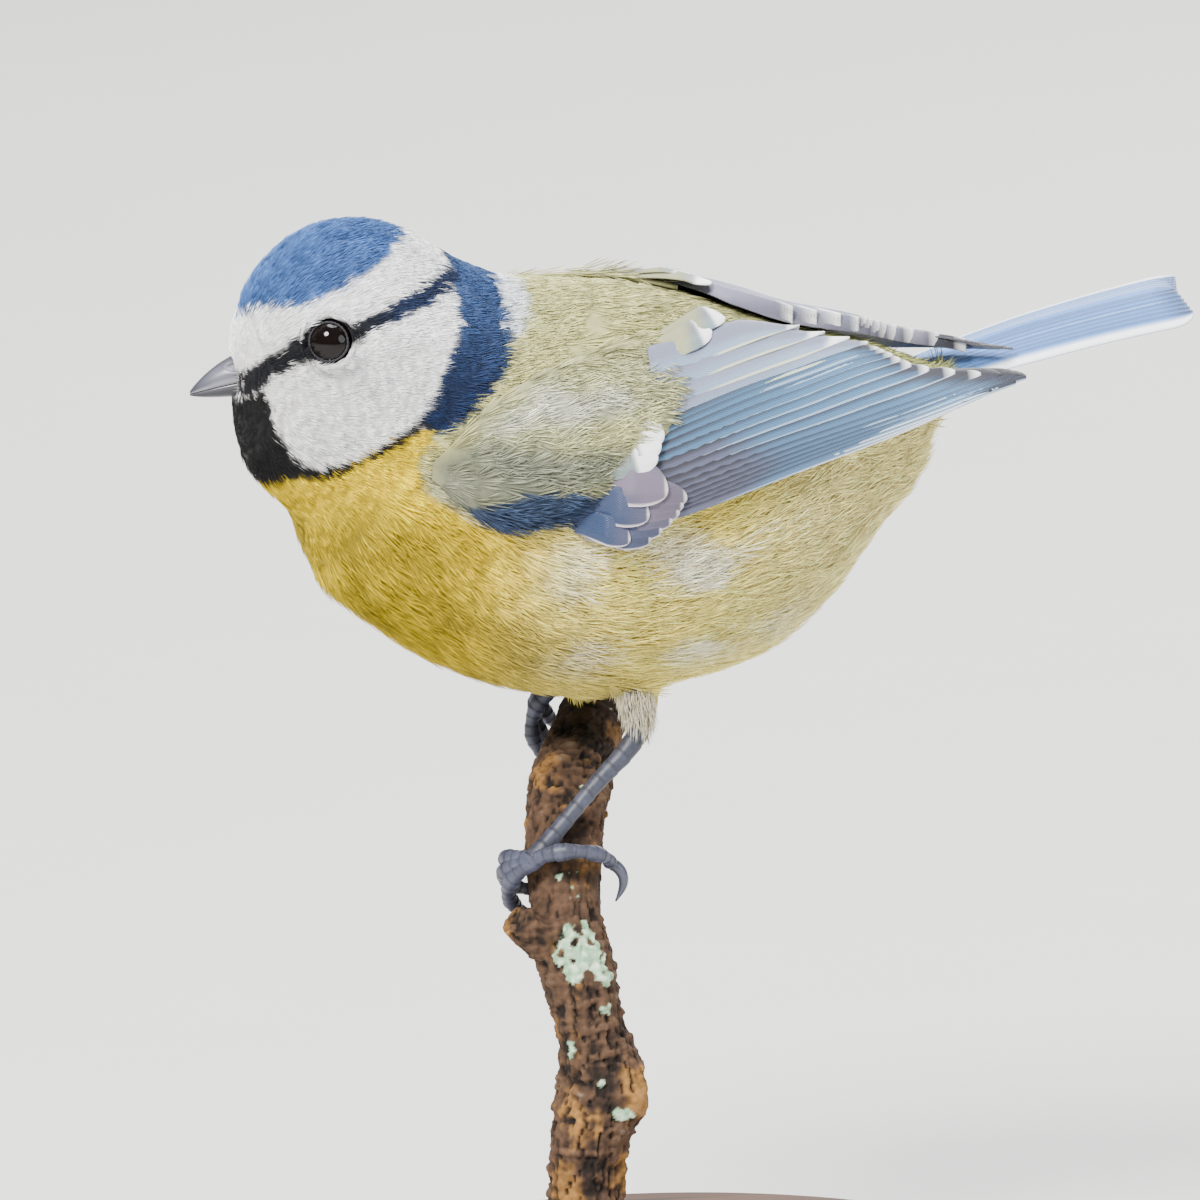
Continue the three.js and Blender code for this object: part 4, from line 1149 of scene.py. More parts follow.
def alulaTint(t, s, v):
    tone = evenTint(mix(ink("alulaBlue"), ink("mauve"), smooth(0.4, 1.0, np.array(t))), s)
    tone = blend(tone, "alulaBlue", 0.75 * smooth(0.42, 0.10, v) * smooth(0.9, 0.3, s))
    tone = blend(tone, "mauve", 0.35 * smooth(0.55, 0.95, s))
    rim = np.maximum(smooth(0.07, 0.02, v), smooth(0.95, 0.985, s))
    return blend(tone, "cream", 0.85 * rim * smooth(0.2, 0.5, s))


vaneTints = {
    "flight": flightTint, "greater": greaterTint, "primaryCoverts": primaryCovertsTint, "alula": alulaTint,
}


def wingVane(side, kind, k, cell, cells):
    row = wingRows[kind]
    t = k / (row["count"] - 1)
    rootX, rootA = float(along(row["rootX"], t)), float(along(row["rootAngle"], t))
    tipX, tipA = float(along(row["tipX"], t)), float(along(row["tipAngle"], t))
    widthMm = float(along(row["width"], t))
    lift0 = mix(row["rootLift"][0], row["rootLift"][1], t)
    lift1 = mix(row["tipLift"][0], row["tipLift"][1], t)
    bow = mix(row["bow"][0], row["bow"][1], t)
    if kind == "greater" and isTucked(t):
        lift0, lift1 = lift0 - tuckSet["depth"], lift1 - tuckSet["depth"]
    n = vaneSet["along"]
    u = np.linspace(0, 1, n)
    slope = (tipA - rootA) / (tipX - rootX)
    start = -row["sink"] / (tipX - rootX)
    s = start + (1 - start) * (1 - (1 - u) ** 1.45)
    x = rootX + (tipX - rootX) * s
    bowed = np.where(s > 0, bow * np.sin(np.pi * s), 0.5 * slope * (rootX - x))
    edge = rootA + (tipA - rootA) * s + bowed
    long = kind == "flight" and t < tertialFrom
    begin = 0.72 if long else 0.62
    ratio = np.clip((s - begin) / (1.003 - begin), 0, 1)
    full = np.sqrt(np.maximum(0, 1 - ratio**2))
    width = widthMm * mix(0.7, 1.0, np.clip(1.4 * u, 0, 1))
    lift = mix(lift0, lift1, np.clip(s * 1.6, 0, 1))
    perMm = 57.3 / (bedRadius(x, edge) + lift)
    inner = np.maximum(edge - width * perMm, np.minimum(vaneSet["innerEdge"], edge - 2))
    outerShare = 0.12 if long else 0.38
    edgeIn = edge + (inner - edge) * outerShare * (1 - full)
    innerIn = edge + (inner - edge) * (outerShare + (1 - outerShare) * np.maximum(full, 0.05))
    innerIn = np.where(innerIn > edgeIn - 0.05, edgeIn - 0.05, innerIn)
    v = vaneColumns()
    angle = edgeIn[:, None] + (innerIn - edgeIn)[:, None] * v[None, :]
    shaft = np.exp(-(((v - vaneSet["shaftAt"]) / 0.05) ** 2)) * vaneSet["shaft"]
    camber = vaneSet["camber"] * (1 - (2 * v - 1) ** 2)
    drop = vaneSet["tilt"] * (edge[:, None] - angle) / perMm[:, None]
    height = lift[:, None] + vaneSet["top"] - drop + camber[None, :] + shaft[None, :] * (1 - 0.6 * s)[:, None]
    if kind == "flight" and t > foldSet["from"]:
        height = mix(height, foldSet["height"], smooth(*foldSet["web"], v)[None, :])
    xs = np.repeat(x[:, None], len(v), 1)
    flat = (xs.ravel(), angle.ravel())
    top = onBed(side, *flat, height.ravel()).reshape(n, len(v), 3)
    lower = onBed(side, *flat, (height - vaneSet["thin"]).ravel()).reshape(n, len(v), 3)
    sGrid = np.repeat(np.clip(s, 0, 1)[:, None], len(v), 1)
    vGrid = np.repeat(v[None, :], n, 0)
    tint = vaneTints[kind](t, sGrid, vGrid)
    # Painted light: on the far wing the dark inner webs are painted a paler mauve than on the near wing,
    # against the shade that wing lies in
    if side > 0 and kind == "flight" and t > 0.4:
        mauve = 0.7 * smooth(0.30, 0.6, vGrid) * smooth(0.99, 0.93, sGrid)
        tint = mix(tint, ink("farMauvePaintedLight"), mauve[..., None])
    tint *= np.exp(rng.normal(0, 0.05))
    under = mix(tint, ink("under"), 0.6)
    lengthMm = (tipX - rootX) * (1 - start)
    run = np.clip((s - start) / (1 - start), 0, 1)
    name = "vane_%s_%d" % (kind, k)
    return vaneShell(name, top, lower, run, v, tint, under, cell, cells, lengthMm, widthMm)


def makeWing(side, material):
    parts = []
    cells = 7  # the unwrap is cut into 7 by 7, one for each feather
    cell = 0
    for kind in wingRows:
        for k in range(wingRows[kind]["count"]):
            parts.append(wingVane(side, kind, k, cell, cells))
            cell += 1
    name = "feathersLeft" if side < 0 else "feathersRight"
    wing = joinObjects(name, parts)
    finishPiece(wing, material, ["wing_left" if side < 0 else "wing_right"])
    print(name, len(wing.data.polygons))
    return wing


# The folded arm, a smooth pad that small soft feathers grow from
armSet = {
    "x": (-32.0, -2.5), "lower": [60, 77, 76, 70, 60, 45], "upper": [54, 40, 32, 26, 20, 15],
    "top": [-0.4, 1.4, 2.2, 2.0, 1.7, 0.5], "edge": -0.1, "under": -0.6,
    "rows": 40, "across": 26, "farShare": 0.6,  # the far arm stands off less
}


def makeArm(side):
    u = np.linspace(0, 1, armSet["rows"])
    v = np.linspace(0, 1, armSet["across"])
    x = mix(armSet["x"][0], armSet["x"][1], u)
    lower, upper, top = along(armSet["lower"], u), along(armSet["upper"], u), along(armSet["top"], u)
    if side > 0:
        top = top * armSet["farShare"]
    angle = lower[:, None] + (upper - lower)[:, None] * v[None, :]
    rise = np.sin(np.pi * np.clip(v, 0, 1) ** 0.6)
    height = armSet["edge"] + (top - armSet["edge"])[:, None] * rise[None, :]
    xs = np.repeat(x[:, None], len(v), 1)
    upperSide = onBed(side, xs.ravel(), angle.ravel(), height.ravel()).reshape(*xs.shape, 3)
    sunk = np.full(xs.size, armSet["under"])
    underSide = onBed(side, xs.ravel(), angle.ravel(), sunk).reshape(*xs.shape, 3)
    arm = ringMesh("armLeft" if side < 0 else "armRight", np.concatenate([upperSide, underSide[:, ::-1]], 1))
    applyModifier(arm, "TRIANGULATE")
    unwrap(arm)
    return arm


# Tail: twelve long vanes, the middle pair on top
tailSet = {
    "count": 12, "rootX": 19.0, "tipX": 55.2, "yaw": 0.27, "rootY": 3.3, "half": (3.4, 5.2), "width": 4.4,
    "step": 0.11, "rows": 34, "across": 11, "thin": 0.14, "camber": 0.18, "shaft": 0.09, "lean": -0.12,
}
tailInk = {
    "blue": (84, 132, 200), "deep": (48, 82, 138), "dark": (34, 38, 56), "white": (240, 244, 250),
    "under": (136, 150, 172),
}
tailRise = {"from": 27, "height": 105.9, "slope": 0.205, "bend": -0.0026}


def tailHeight(x):
    run = x - tailRise["from"]
    return tailRise["height"] + tailRise["slope"] * run + tailRise["bend"] * run**2


def tailTint(out, web, run):  # web is 1 at a feather's outer edge, run goes along it
    shades = {key: toLinear(value) for key, value in tailInk.items()}
    tint = evenTint(shades["blue"], web)
    tint = mix(tint, shades["deep"], (0.65 * smooth(0.1, -0.5, web))[..., None])
    dark = 0.55 * np.exp(-((web / 0.12) ** 2)) + 0.5 * smooth(0.90, 1.0, run)
    tint = mix(tint, shades["dark"], dark[..., None].clip(0, 1))
    if abs(out) > 0.95:
        tint = mix(tint, shades["white"], smooth(0.25, 0.6, web)[..., None])
    tint = mix(tint, shades["white"], (0.5 * smooth(0.9, 0.98, web))[..., None])
    tint = tint * np.exp(rng.normal(0, 0.05))
    return tint, mix(tint, shades["under"], 0.7)


def tailVane(k):
    t = tailSet
    centre = (t["count"] - 1) / 2
    out = (k - centre) / centre
    s = 1 - (1 - np.linspace(0, 1, t["rows"])) ** 1.35
    v = np.linspace(-1, 1, t["across"])
    x = mix(t["rootX"], t["tipX"] - 0.9 * (1 - abs(out)), s)
    mid = t["rootY"] + t["yaw"] * (x - t["rootX"]) + out * mix(t["half"][0], t["half"][1], s)
    ratio = np.clip((s - 0.93) / 0.072, 0, 1)
    full = np.maximum(np.sqrt(np.maximum(0, 1 - ratio**2)), 0.04)
    half = t["width"] / 2 * mix(0.6, 1.0, np.clip(2 * s, 0, 1)) * full
    z = tailHeight(x) - t["step"] * abs(out) * 6 - 0.05 * k + 0.22
    ys = mid[:, None] + half[:, None] * v[None, :]
    shaft = t["shaft"] * np.exp(-((v / 0.10) ** 2))
    camber = t["camber"] * (1 - v**2)
    zs = z[:, None] + t["lean"] * out * half[:, None] * v[None, :] + camber[None, :]
    zs = zs + shaft[None, :] * (1 - 0.5 * s)[:, None]
    xs = np.repeat(x[:, None], len(v), 1)
    top = leanOut(np.stack([xs, ys, zs], -1).reshape(-1, 3)).reshape(*xs.shape, 3)
    lower = leanOut(np.stack([xs, ys, zs - t["thin"]], -1).reshape(-1, 3)).reshape(*xs.shape, 3)
    web = np.repeat((v if out > 0 else -v)[None, :], len(s), 0)
    run = np.repeat(s[:, None], len(v), 1)
    tint, under = tailTint(out, web, run)
    columns = (v + 1) / 2
    longest = t["tipX"] - t["rootX"]
    return vaneShell("rectrix%d" % k, top, lower, s, columns, tint, under, k, 4, longest, t["width"])


def makeTail(material):
    tail = joinObjects("tailFeathers", [tailVane(k) for k in range(tailSet["count"])])
    finishPiece(tail, material, ["tail"])
    print("tail", len(tail.data.polygons))


def vaneMaterial(name, roughness, barbs, depth):  # fine slanted barbs on either side of the shaft
    mat, tree, shader = newMaterial(name, roughness)
    uv = addNode(tree, "UVMap")
    uv.uv_map = "vane"
    parts = addNode(tree, "SeparateXYZ")
    across = addNode(tree, "Math", operation="ABSOLUTE")
    slant = addNode(tree, "Math", {1: -1.35}, "MULTIPLY_ADD")
    wobble = addNode(tree, "TexNoise", {"Scale": 0.9, "Detail": 2})
    bent = addNode(tree, "Math", {1: 0.5}, "MULTIPLY_ADD")
    turns = addNode(tree, "Math", {1: 2 * math.pi / barbs}, "MULTIPLY")
    ripple = addNode(tree, "Math", operation="SINE")
    link(tree, uv.outputs["UV"], parts.inputs[0])
    link(tree, uv.outputs["UV"], wobble.inputs["Vector"])
    link(tree, parts.outputs["Y"], across.inputs[0])
    link(tree, across.outputs[0], slant.inputs[0])
    link(tree, parts.outputs["X"], slant.inputs[2])
    link(tree, wobble.outputs["Fac"], bent.inputs[0])
    link(tree, slant.outputs[0], bent.inputs[2])
    link(tree, bent.outputs[0], turns.inputs[0])
    link(tree, turns.outputs[0], ripple.inputs[0])
    levels = {"From Min": -1, "To Min": 1 - depth, "To Max": 1 + 0.6 * depth}
    tintBy(tree, shader, ripple.outputs[0], levels)
    bumpBy(tree, shader, ripple.outputs[0], 0.35, 0.00006)
    shader.inputs["Sheen Weight"].default_value = 0.1
    shader.inputs["Specular IOR Level"].default_value = 0.35
    return mat


# Eyes
def makeEyes():
    mat, tree, shader = newMaterial("wetEye", 0.07)
    mottle(tree, shader, 1500, toLinear((5, 3, 3)), toLinear((18, 11, 9)))
    shader.inputs["Specular IOR Level"].default_value = 0.24
    lidLook = plainMaterial("lidSkin", tuple(toLinear((34, 34, 40))), 0.8, 0.3)
    for side, at, out, centre in eyeFrames():
        label = "Left" if side < 0 else "Right"
        clearSelection()
        place = Vector(centre * mm)
        radius = eyeSet["radius"] * mm
        bpy.ops.mesh.primitive_uv_sphere_add(segments=64, ring_count=40, radius=radius, location=place)
        eye = bpy.context.object
        eye.name = "eyeball" + label
        bpy.ops.object.transform_apply(location=True, rotation=True, scale=True)
        smoothShade(eye)
        finishPiece(eye, mat, ["eye_left" if side < 0 else "eye_right"])
        a = unit(np.cross(out, [0, 0, 1]))
        b = np.cross(out, a)
        turns = np.linspace(0, 2 * np.pi, 96, endpoint=False)
        tube = np.linspace(0, 2 * np.pi, 10, endpoint=False)
        bead = eyeSet["bead"] + eyeSet["ripple"] * np.cos(turns * eyeSet["beads"])
        radial = np.cos(turns)[:, None] * a + np.sin(turns)[:, None] * b
        rim = at + out * eyeSet["lidOut"] + radial * eyeSet["lid"]
        swing = np.cos(tube)[None, :, None] * radial[:, None] * eyeSet["tall"]
        rings = rim[:, None] + bead[:, None, None] * (swing + np.sin(tube)[None, :, None] * out[None, None])
        lid = closedRing("lid" + label, rings)
        finishPiece(lid, lidLook)


def closedRing(name, rings):  # a ring of rings that meets its own start
    rows, around = rings.shape[:2]
    i = np.arange(rows)[:, None] * around
    nextRow = ((np.arange(rows) + 1) % rows)[:, None] * around
    j = np.arange(around)[None, :]
    k = (j + 1) % around
    quads = np.stack([i + j, i + k, nextRow + k, nextRow + j], -1).reshape(-1, 4)
    obj = meshFrom(name, rings.reshape(-1, 3) * mm, quads)
    editAll(obj, bpy.ops.mesh.normals_make_consistent, inside=False)
    return obj


# Bill
billSet = {
    "tip": (-56.4, 107.0), "gape": (-48.6, 108.9), "depth": 5.0, "width": 4.6, "mouth": 0.10, "rows": 40,
    "around": 28, "nostril": (-51.9, 110.1), "nostrilHalf": (0.8, 0.42), "nostrilDeep": 0.45,
}


def hollowNostrils(rings):
    atX, atZ = billSet["nostril"]
    halfX, halfZ = billSet["nostrilHalf"]
    for side in (-1, 1):
        d = np.sqrt(((rings[..., 0] - atX) / halfX) ** 2 + ((rings[..., 2] - atZ) / halfZ) ** 2)
        near = (np.sign(rings[..., 1] - headMidY) == side) & (d < 1)
        rings[..., 1] -= side * np.where(near, billSet["nostrilDeep"] * (1 - d**2), 0)


def makeBill():
    mat, tree, shader = newMaterial("billHorn", 0.32)
    noise = objectTexture(tree, "TexNoise", {"Scale": 700, "Detail": 5})
    tintBy(tree, shader, noise.outputs["Fac"], {"To Min": 0.8, "To Max": 1.2})
    bumpBy(tree, shader, noise.outputs["Fac"], 0.25, 0.0001)
    for upper in (True, False):
        u = np.linspace(0, 1, billSet["rows"]) ** 1.3
        x = mix(billSet["tip"][0], billSet["gape"][0], u)
        mouth = mix(billSet["tip"][1], billSet["gape"][1], u) + 0.25 * np.sin(np.pi * u)
        full = np.sin(np.pi / 2 * np.minimum(1, 0.02 + 0.95 * u) ** 0.75)
        height = (0.6 if upper else 0.4) * billSet["depth"] * full ** (1.0 if upper else 1.1)
        half = billSet["width"] / 2 * full**1.15
        turn = np.linspace(0, np.pi, billSet["around"])
        sign = 1 if upper else -1
        y = headMidY + half[:, None] * np.cos(turn)[None, :]
        z = mouth[:, None] + sign * (billSet["mouth"] / 2 + np.sin(turn)[None, :] ** 0.8 * height[:, None])
        xs = np.repeat(x[:, None], len(turn), 1)
        rings = np.stack([xs, y, z], -1)
        if upper:
            hollowNostrils(rings)
        ridge = np.exp(-(((turn - np.pi / 2) / 0.35) ** 2))[None, :]
        run = np.repeat(u[:, None], len(turn), 1)
        base = toLinear((92, 92, 104) if upper else (40, 42, 50))
        tints = np.broadcast_to(base, rings.shape).copy()
        tints = mix(tints, toLinear((46, 46, 54)), (0.8 * ridge * np.ones_like(run))[..., None])
        tints = mix(tints, toLinear((30, 31, 38)), (0.7 * smooth(0.35, 0.0, run))[..., None])
        # Painted highlight: a pale band along the mouth line, strong on the upper mandible and faint on the
        # lower
        edge = smooth(0.30, 0.06, turn) + smooth(np.pi - 0.30, np.pi - 0.06, turn)
        edge = np.repeat(edge[None, :], len(u), 0) * (1 if upper else 0.25)
        tints = mix(tints, toLinear((150, 148, 156)), (0.6 * edge)[..., None].clip(0, 1))
        bill = ringMesh("billUpper" if upper else "billLower", rings, tints)
        finishPiece(bill, mat, ["bill_upper" if upper else "bill_lower"])


# Curve that the branch follows, in mm
perchPath = np.array([
    (-15.6, -15.9, 16.0), (-14.5, -15.0, 27.0), (-13.3, -14.5, 31.5), (-15.0, -13.3, 40.4),
    (-16.6, -11.6, 48.6), (-16.6, -9.6, 53.2), (-15.4, -4.0, 60.0), (-12.9, 3.0, 64.0),
    (-10.4, 8.6, 66.9), (-6.6, 16.0, 70.6),
])
perchSwell = [3.6, 4.4, 4.9, 4.0, 4.3, 4.0, 4.4, 4.5, 4.1, 3.9, 4.0]


def curveRun(points, samples=600):  # centripetal curve through points, evenly spaced along its length
    points = np.asarray(points, dtype=np.float64)
    padded = np.concatenate([[2 * points[0] - points[1]], points, [2 * points[-1] - points[-2]]])
    out = []
    spans = len(points) - 1
    for i in range(spans):
        p0, p1, p2, p3 = padded[i : i + 4]
        d0, d1, d2 = (np.linalg.norm(b - a) ** 0.5 for a, b in ((p0, p1), (p1, p2), (p2, p3)))
        t1 = ((p1 - p0) / d0 - (p2 - p0) / (d0 + d1) + (p2 - p1) / d1) * d1
        t2 = ((p2 - p1) / d1 - (p3 - p1) / (d1 + d2) + (p3 - p2) / d2) * d1
        t = np.linspace(0, 1, 80, endpoint=i == spans - 1)[:, None]
        out.append(p1 + t1 * t + (-3 * p1 + 3 * p2 - 2 * t1 - t2) * t**2 + (2 * p1 - 2 * p2 + t1 + t2) * t**3)
    run = np.concatenate(out)
    arc = np.concatenate([[0], np.cumsum(np.linalg.norm(np.diff(run, axis=0), axis=1))])
    even = np.linspace(0, arc[-1], samples)
    return np.stack([np.interp(even, arc, run[:, k]) for k in range(3)], 1), arc[-1]


def tubeRings(points, radii, around, shape=None):  # rings round a path, with no twist between them
    points = np.asarray(points)
    tangent = unit(np.gradient(points, axis=0))
    a = unit(np.cross(tangent[0], [0.3, 1.0, 0.2]))
    frames = []
    for t in tangent:
        a = unit(a - t * np.dot(a, t))
        frames.append((a, np.cross(t, a)))
    turn = np.linspace(0, 2 * np.pi, around, endpoint=False)
    rings = []
    for p, (a, b), r in zip(points, frames, radii):
        wide = r if shape is None else r * shape(turn)
        rings.append(p + (np.cos(turn)[:, None] * a + np.sin(turn)[:, None] * b) * np.reshape(wide, (-1, 1)))
    return np.array(rings)


# Legs, toes and claws
footSet = {
    "left": {"at": 0.545, "tarsus": [(-8.6, -7.6, 73.6), (-8.5, -9.0, 69.2), (-13.9, -10.8, 63.4)]},
    "right": {"at": 0.865, "tarsus": [(-5.9, 8.4, 77.0), (-8.4, 8.6, 73.6), (-10.6, 8.4, 72.6)]},
}
toeSet = {  # degrees that the toe and its claw reach round the branch, then mm along it and off it
    "front_inner": {"turn": -118, "claw": -44, "spread": 3.4, "bulge": 0.5, "drop": 0, "arch": 0.5},
    "front_middle": {"turn": -128, "claw": -44, "spread": 0.2, "bulge": 0.8, "drop": 0, "arch": 0.5},
    "front_outer": {"turn": -112, "claw": -44, "spread": -3.2, "bulge": 0.5, "drop": 0, "arch": 0.5},
    "hind": {"turn": 92, "claw": 26, "spread": 0.4, "bulge": 1.3, "drop": 3.4, "arch": 0.9},
}
toeInk, shankInk, clawInk = (64, 67, 85), (54, 57, 72), (74, 76, 92)
toeGap, toeHalf = 0.35, 1.05  # air under a toe, and half its thickness
perchRun, perchLong = curveRun(perchPath)


def footFrame(at):
    i = int(round(at * (len(perchRun) - 1)))
    axis = unit(perchRun[i + 2] - perchRun[i - 2])
    up = np.array([-0.35, 0, 1.0])
    up = unit(up - axis * np.dot(up, axis))
    back = unit(np.cross(axis, up))
    return perchRun[i], axis, up, back if back[0] > 0 else -back


def aroundPerch(base, degrees, radius, shift):
    centre, axis, up, back = base
    turn = np.radians(degrees)[:, None]
    radius = radius[:, None]
    return centre + up * np.cos(turn) * radius + back * np.sin(turn) * radius + axis * shift[:, None]


def legMaterial():
    mat, tree, shader = newMaterial("legScale", 0.5)
    cells = objectTexture(tree, "TexVoronoi", {"Scale": 1900})
    tintBy(tree, shader, cells.outputs["Distance"], {"From Max": 0.7, "To Min": 0.82, "To Max": 1.15})
    bumpBy(tree, shader, cells.outputs["Distance"], 0.3, 0.00008)
    return mat


def scutedTube(name, path, radii, scutes, tone):  # overlapping plates run down the front of a leg or toe
    rows = len(path)
    u = np.linspace(0, 1, rows)
    step = (u * scutes) % 1.0
    plate = 0.97 + 0.10 * (1 - step) ** 1.6
    rings = tubeRings(path, np.asarray(radii) * plate, 18)
    groove = smooth(0.14, 0.0, step) + smooth(0.88, 1.0, step)
    shade = np.exp(0.30 * wave(path, 0.9, 4.0) + 0.20 * wave(path, 0.35, 7.0))
    tint = np.repeat(toLinear(tone)[None], rows, 0) * ((1 - 0.55 * groove) * shade)[:, None]
    tint = np.repeat(tint[:, None], 18, 1)
    return ringMesh(name, rings, tint)


def holdAt(foot, shift):  # a toe's distance from the middle of the branch
    return along(perchSwell, foot["at"] + shift / perchLong) + toeGap + toeHalf


def makeToe(base, foot, toe):
    u = np.linspace(0, 1, 82)
    shift = toe["spread"] * u**0.8
    radius = holdAt(foot, shift) + toe["bulge"] * np.sin(np.pi * u) + 0.35 * (1 - u)
    path = aroundPerch(base, mix(-6, toe["turn"], u), radius, shift)
    radii = mix(0.95, 0.72, u) + 0.10 * np.cos(2 * np.pi * 3 * u)
    radii[-3:] *= [0.9, 0.75, 0.5]
    return scutedTube("toe", path, radii, 11, toeInk)


def makeClaw(name, base, foot, toe):
    u = np.linspace(0, 1, 18)
    start = toe["turn"] + math.copysign(4, toe["claw"])
    shift = toe["spread"] * (1 + 0.15 * u) - toe["drop"] * u**1.3
    radius = holdAt(foot, shift) + 0.1 + toe["arch"] * np.sin(np.pi * u)
    path = aroundPerch(base, start + toe["claw"] * u, radius, shift)
    return ringMesh(name, tubeRings(path, along([0.7, 0.62, 0.45, 0.1], u), 14))


def makeFeet():
    legLook = legMaterial()
    clawLook = plainMaterial("clawHorn", tuple(toLinear(clawInk)), 0.3, 0.2)
    for name, foot in footSet.items():
        base = footFrame(foot["at"])
        parts = []
        for key, toe in toeSet.items():
            parts.append(makeToe(base, foot, toe))
            claw = makeClaw("claw_" + name + "_" + key + "_horn", base, foot, toe)
            finishPiece(claw, clawLook, ["claw_" + name + "_" + key])
        ankleRadius = along(perchSwell, foot["at"]) + 1.4 + 0.5
        ankle = aroundPerch(base, np.array([-4.0]), np.array([ankleRadius]).ravel(), np.array([0.0]))
        path, _ = curveRun([*foot["tarsus"], ankle[0]], 110)
        radii = along([0.9, 1.1, 0.92, 0.88, 1.2], np.linspace(0, 1, 110))
        parts.append(scutedTube("shank", path, radii, 12, shankInk))
        leg = joinObjects("leg" + name.capitalize(), parts)
        finishPiece(leg, legLook, ["foot_" + name])
        print("leg", name, len(leg.data.polygons))


# Fine pale tufts that lie over the top of each shank
cuffSet = {"count": 900, "length": 2.7, "width": 0.075, "reach": 3.9, "spread": (1.95, 1.02)}


def growCuffs(material):
    for name, foot in footSet.items():
        path, long = curveRun(foot["tarsus"], 200)
        n = cuffSet["count"]
        s = rng.uniform(0, 1, n) ** 1.3
        at = (s * cuffSet["reach"] / long * 199).astype(int)
        down = unit(np.gradient(path, axis=0))[at]
        a = unit(np.cross(down, [0.3, 1.0, 0.1]))
        b = np.cross(down, a)
        turn = rng.uniform(0, 2 * math.pi, n)
        normal = a * np.cos(turn)[:, None] + b * np.sin(turn)[:, None]
        root = path[at] + normal * mix(cuffSet["spread"][0], cuffSet["spread"][1], s)[:, None]
        sway = rng.normal(0.02, 0.10, n)[:, None]
        way = unit(down + normal * sway + np.cross(normal, down) * rng.normal(0, 0.16, n)[:, None])
        length = cuffSet["length"] * rng.uniform(0.6, 1.15, n)
        share = rng.uniform(0, 0.8, n)[:, None]
        pale = mix(toLinear(plumageSet["thigh"])[None], toLinear(plumageSet["fluff"])[None], share)
        uv = np.stack([0.5 + 0.4 * np.cos(turn), 0.5 + 0.4 * np.sin(turn)], 1)
        width = np.full(n, cuffSet["width"]) * rng.uniform(0.8, 1.3, n)
        lift = rng.uniform(0.0, 0.16, n)
        label = "coat_cuff" + name.capitalize()
        piece = bladeMesh(
            label, root, way, normal, length, width, lift, pale * 0.55, pale, uv, np.zeros(n), 1, 2
        )
        finishPiece(piece, material)


# Branch
barkSet = {
    "voxel": 0.26, "smoothing": 10, "quietFoot": 0.4, "quietReach": (4.5, 8.0), "girth": 4.2, "cutDepth": 0.4,
    "scatter": (1.12, 1.17), "shade": 0.45, "shadeZ": (60, 68),
    # pixel and size of each patch of lichen
    "lichenAt": [(580, 952, 2.7), (570, 1050, 0.8), (624, 1112, 1.0), (604, 972, 1.2), (606, 1008, 0.5)],
}
barkInk = {
    "dark": (26, 18, 14), "brown": (84, 62, 46), "warm": (140, 100, 52), "crust": (140, 124, 106),
    "cut": (176, 146, 106), "lichenDeep": (142, 180, 146), "lichenPale": (198, 220, 190),
}


def barkHeight(co, length, turn):  # ropes, plates, crumbs and bands of the bark, in mm
    girth = barkSet["girth"]
    wrapped = np.stack([length, girth * np.cos(turn), girth * np.sin(turn)], 1)
    ropes = 0.26 * wave(wrapped * [0.45, 1, 1], 1.5, 1.0)
    plates = np.abs(wave(wrapped * [0.8, 1, 1], 0.95, 5.0))
    crack = -0.42 * smooth(0.16, 0.0, plates)
    crumbs = 0.17 * wave(co, 0.62, 2.0) + 0.13 * wave(co, 0.33, 9.0) + 0.08 * wave(co, 0.2, 3.0)
    bands = 0.22 * np.maximum(0, np.sin(length * 2.3 + 1.6 * wave(co, 2.4, 6.0))) ** 4
    quiet = np.ones(len(co))
    for foot in footSet.values():  # flatter under the toes
        d = np.linalg.norm(co - footFrame(foot["at"])[0], axis=1)
        quiet *= mix(barkSet["quietFoot"], 1.0, smooth(*barkSet["quietReach"], d))
    return (ropes + crumbs + bands + crack) * quiet


def lichenOn(co, tree, endCut):
    lichen = np.zeros(len(co))
    for px, py, size in barkSet["lichenAt"]:
        spot = castOn(tree, px, py)
        if spot is None:
            continue
        d = np.linalg.norm(co - spot, axis=1)
        ragged = size * (1 + 0.45 * wave(co, 0.8, px * 0.1)) + 0.35 * wave(co, 0.3, py * 0.1)
        lichen = np.maximum(lichen, smooth(0.08, -0.05, d - ragged))
    scatter = wave(co, 2.6, 12.0) + 0.35 * wave(co, 0.7, 3.0) + 0.2 * wave(co, 0.3, 8.0)
    lichen = np.maximum(lichen, 0.9 * smooth(*barkSet["scatter"], scatter)) * (1 - endCut)
    return lichen * smooth(-0.55, -0.35, wave(co, 0.45, 17.0))


def barkTint(co, height, lichen, endCut, fromAxis):
    inks = {key: toLinear(value)[None] for key, value in barkInk.items()}
    warm = smooth(0.15, 0.7, wave(co, 2.2, 8.0) + 0.4 * wave(co, 0.5, 2.0))
    tint = mix(inks["brown"], inks["warm"], warm[:, None])
    # Painted shade: darker where the bark lies low, in its cracks and hollows
    tint = mix(tint, inks["dark"], smooth(0.12, -0.30, height)[:, None])
    stain = 0.7 * smooth(0.30, 0.75, wave(co, 3.3, 21.0) + 0.3 * wave(co, 0.6, 4.0))
    tint = mix(tint, inks["dark"], stain[:, None])
    crust = 0.7 * smooth(0.24, 0.50, height) * (0.5 + 0.5 * wave(co, 1.2, 13.0)).clip(0, 1)
    tint = mix(tint, inks["crust"], crust[:, None])
    tint *= np.exp(0.20 * wave(co, 0.24, 6.0))[:, None]
    tint *= mix(1.0, barkSet["shade"], smooth(*barkSet["shadeZ"], co[:, 2]))[:, None]
    pale = mix(inks["lichenDeep"], inks["lichenPale"], smooth(-0.3, 0.5, wave(co, 0.32, 3.0))[:, None])
    tint = mix(tint, pale, lichen[:, None])
    rings = 0.5 + 0.5 * np.sin(fromAxis * 7)
    return np.where(endCut[:, None], mix(inks["cut"], inks["brown"], (0.6 * rings)[:, None]), tint)


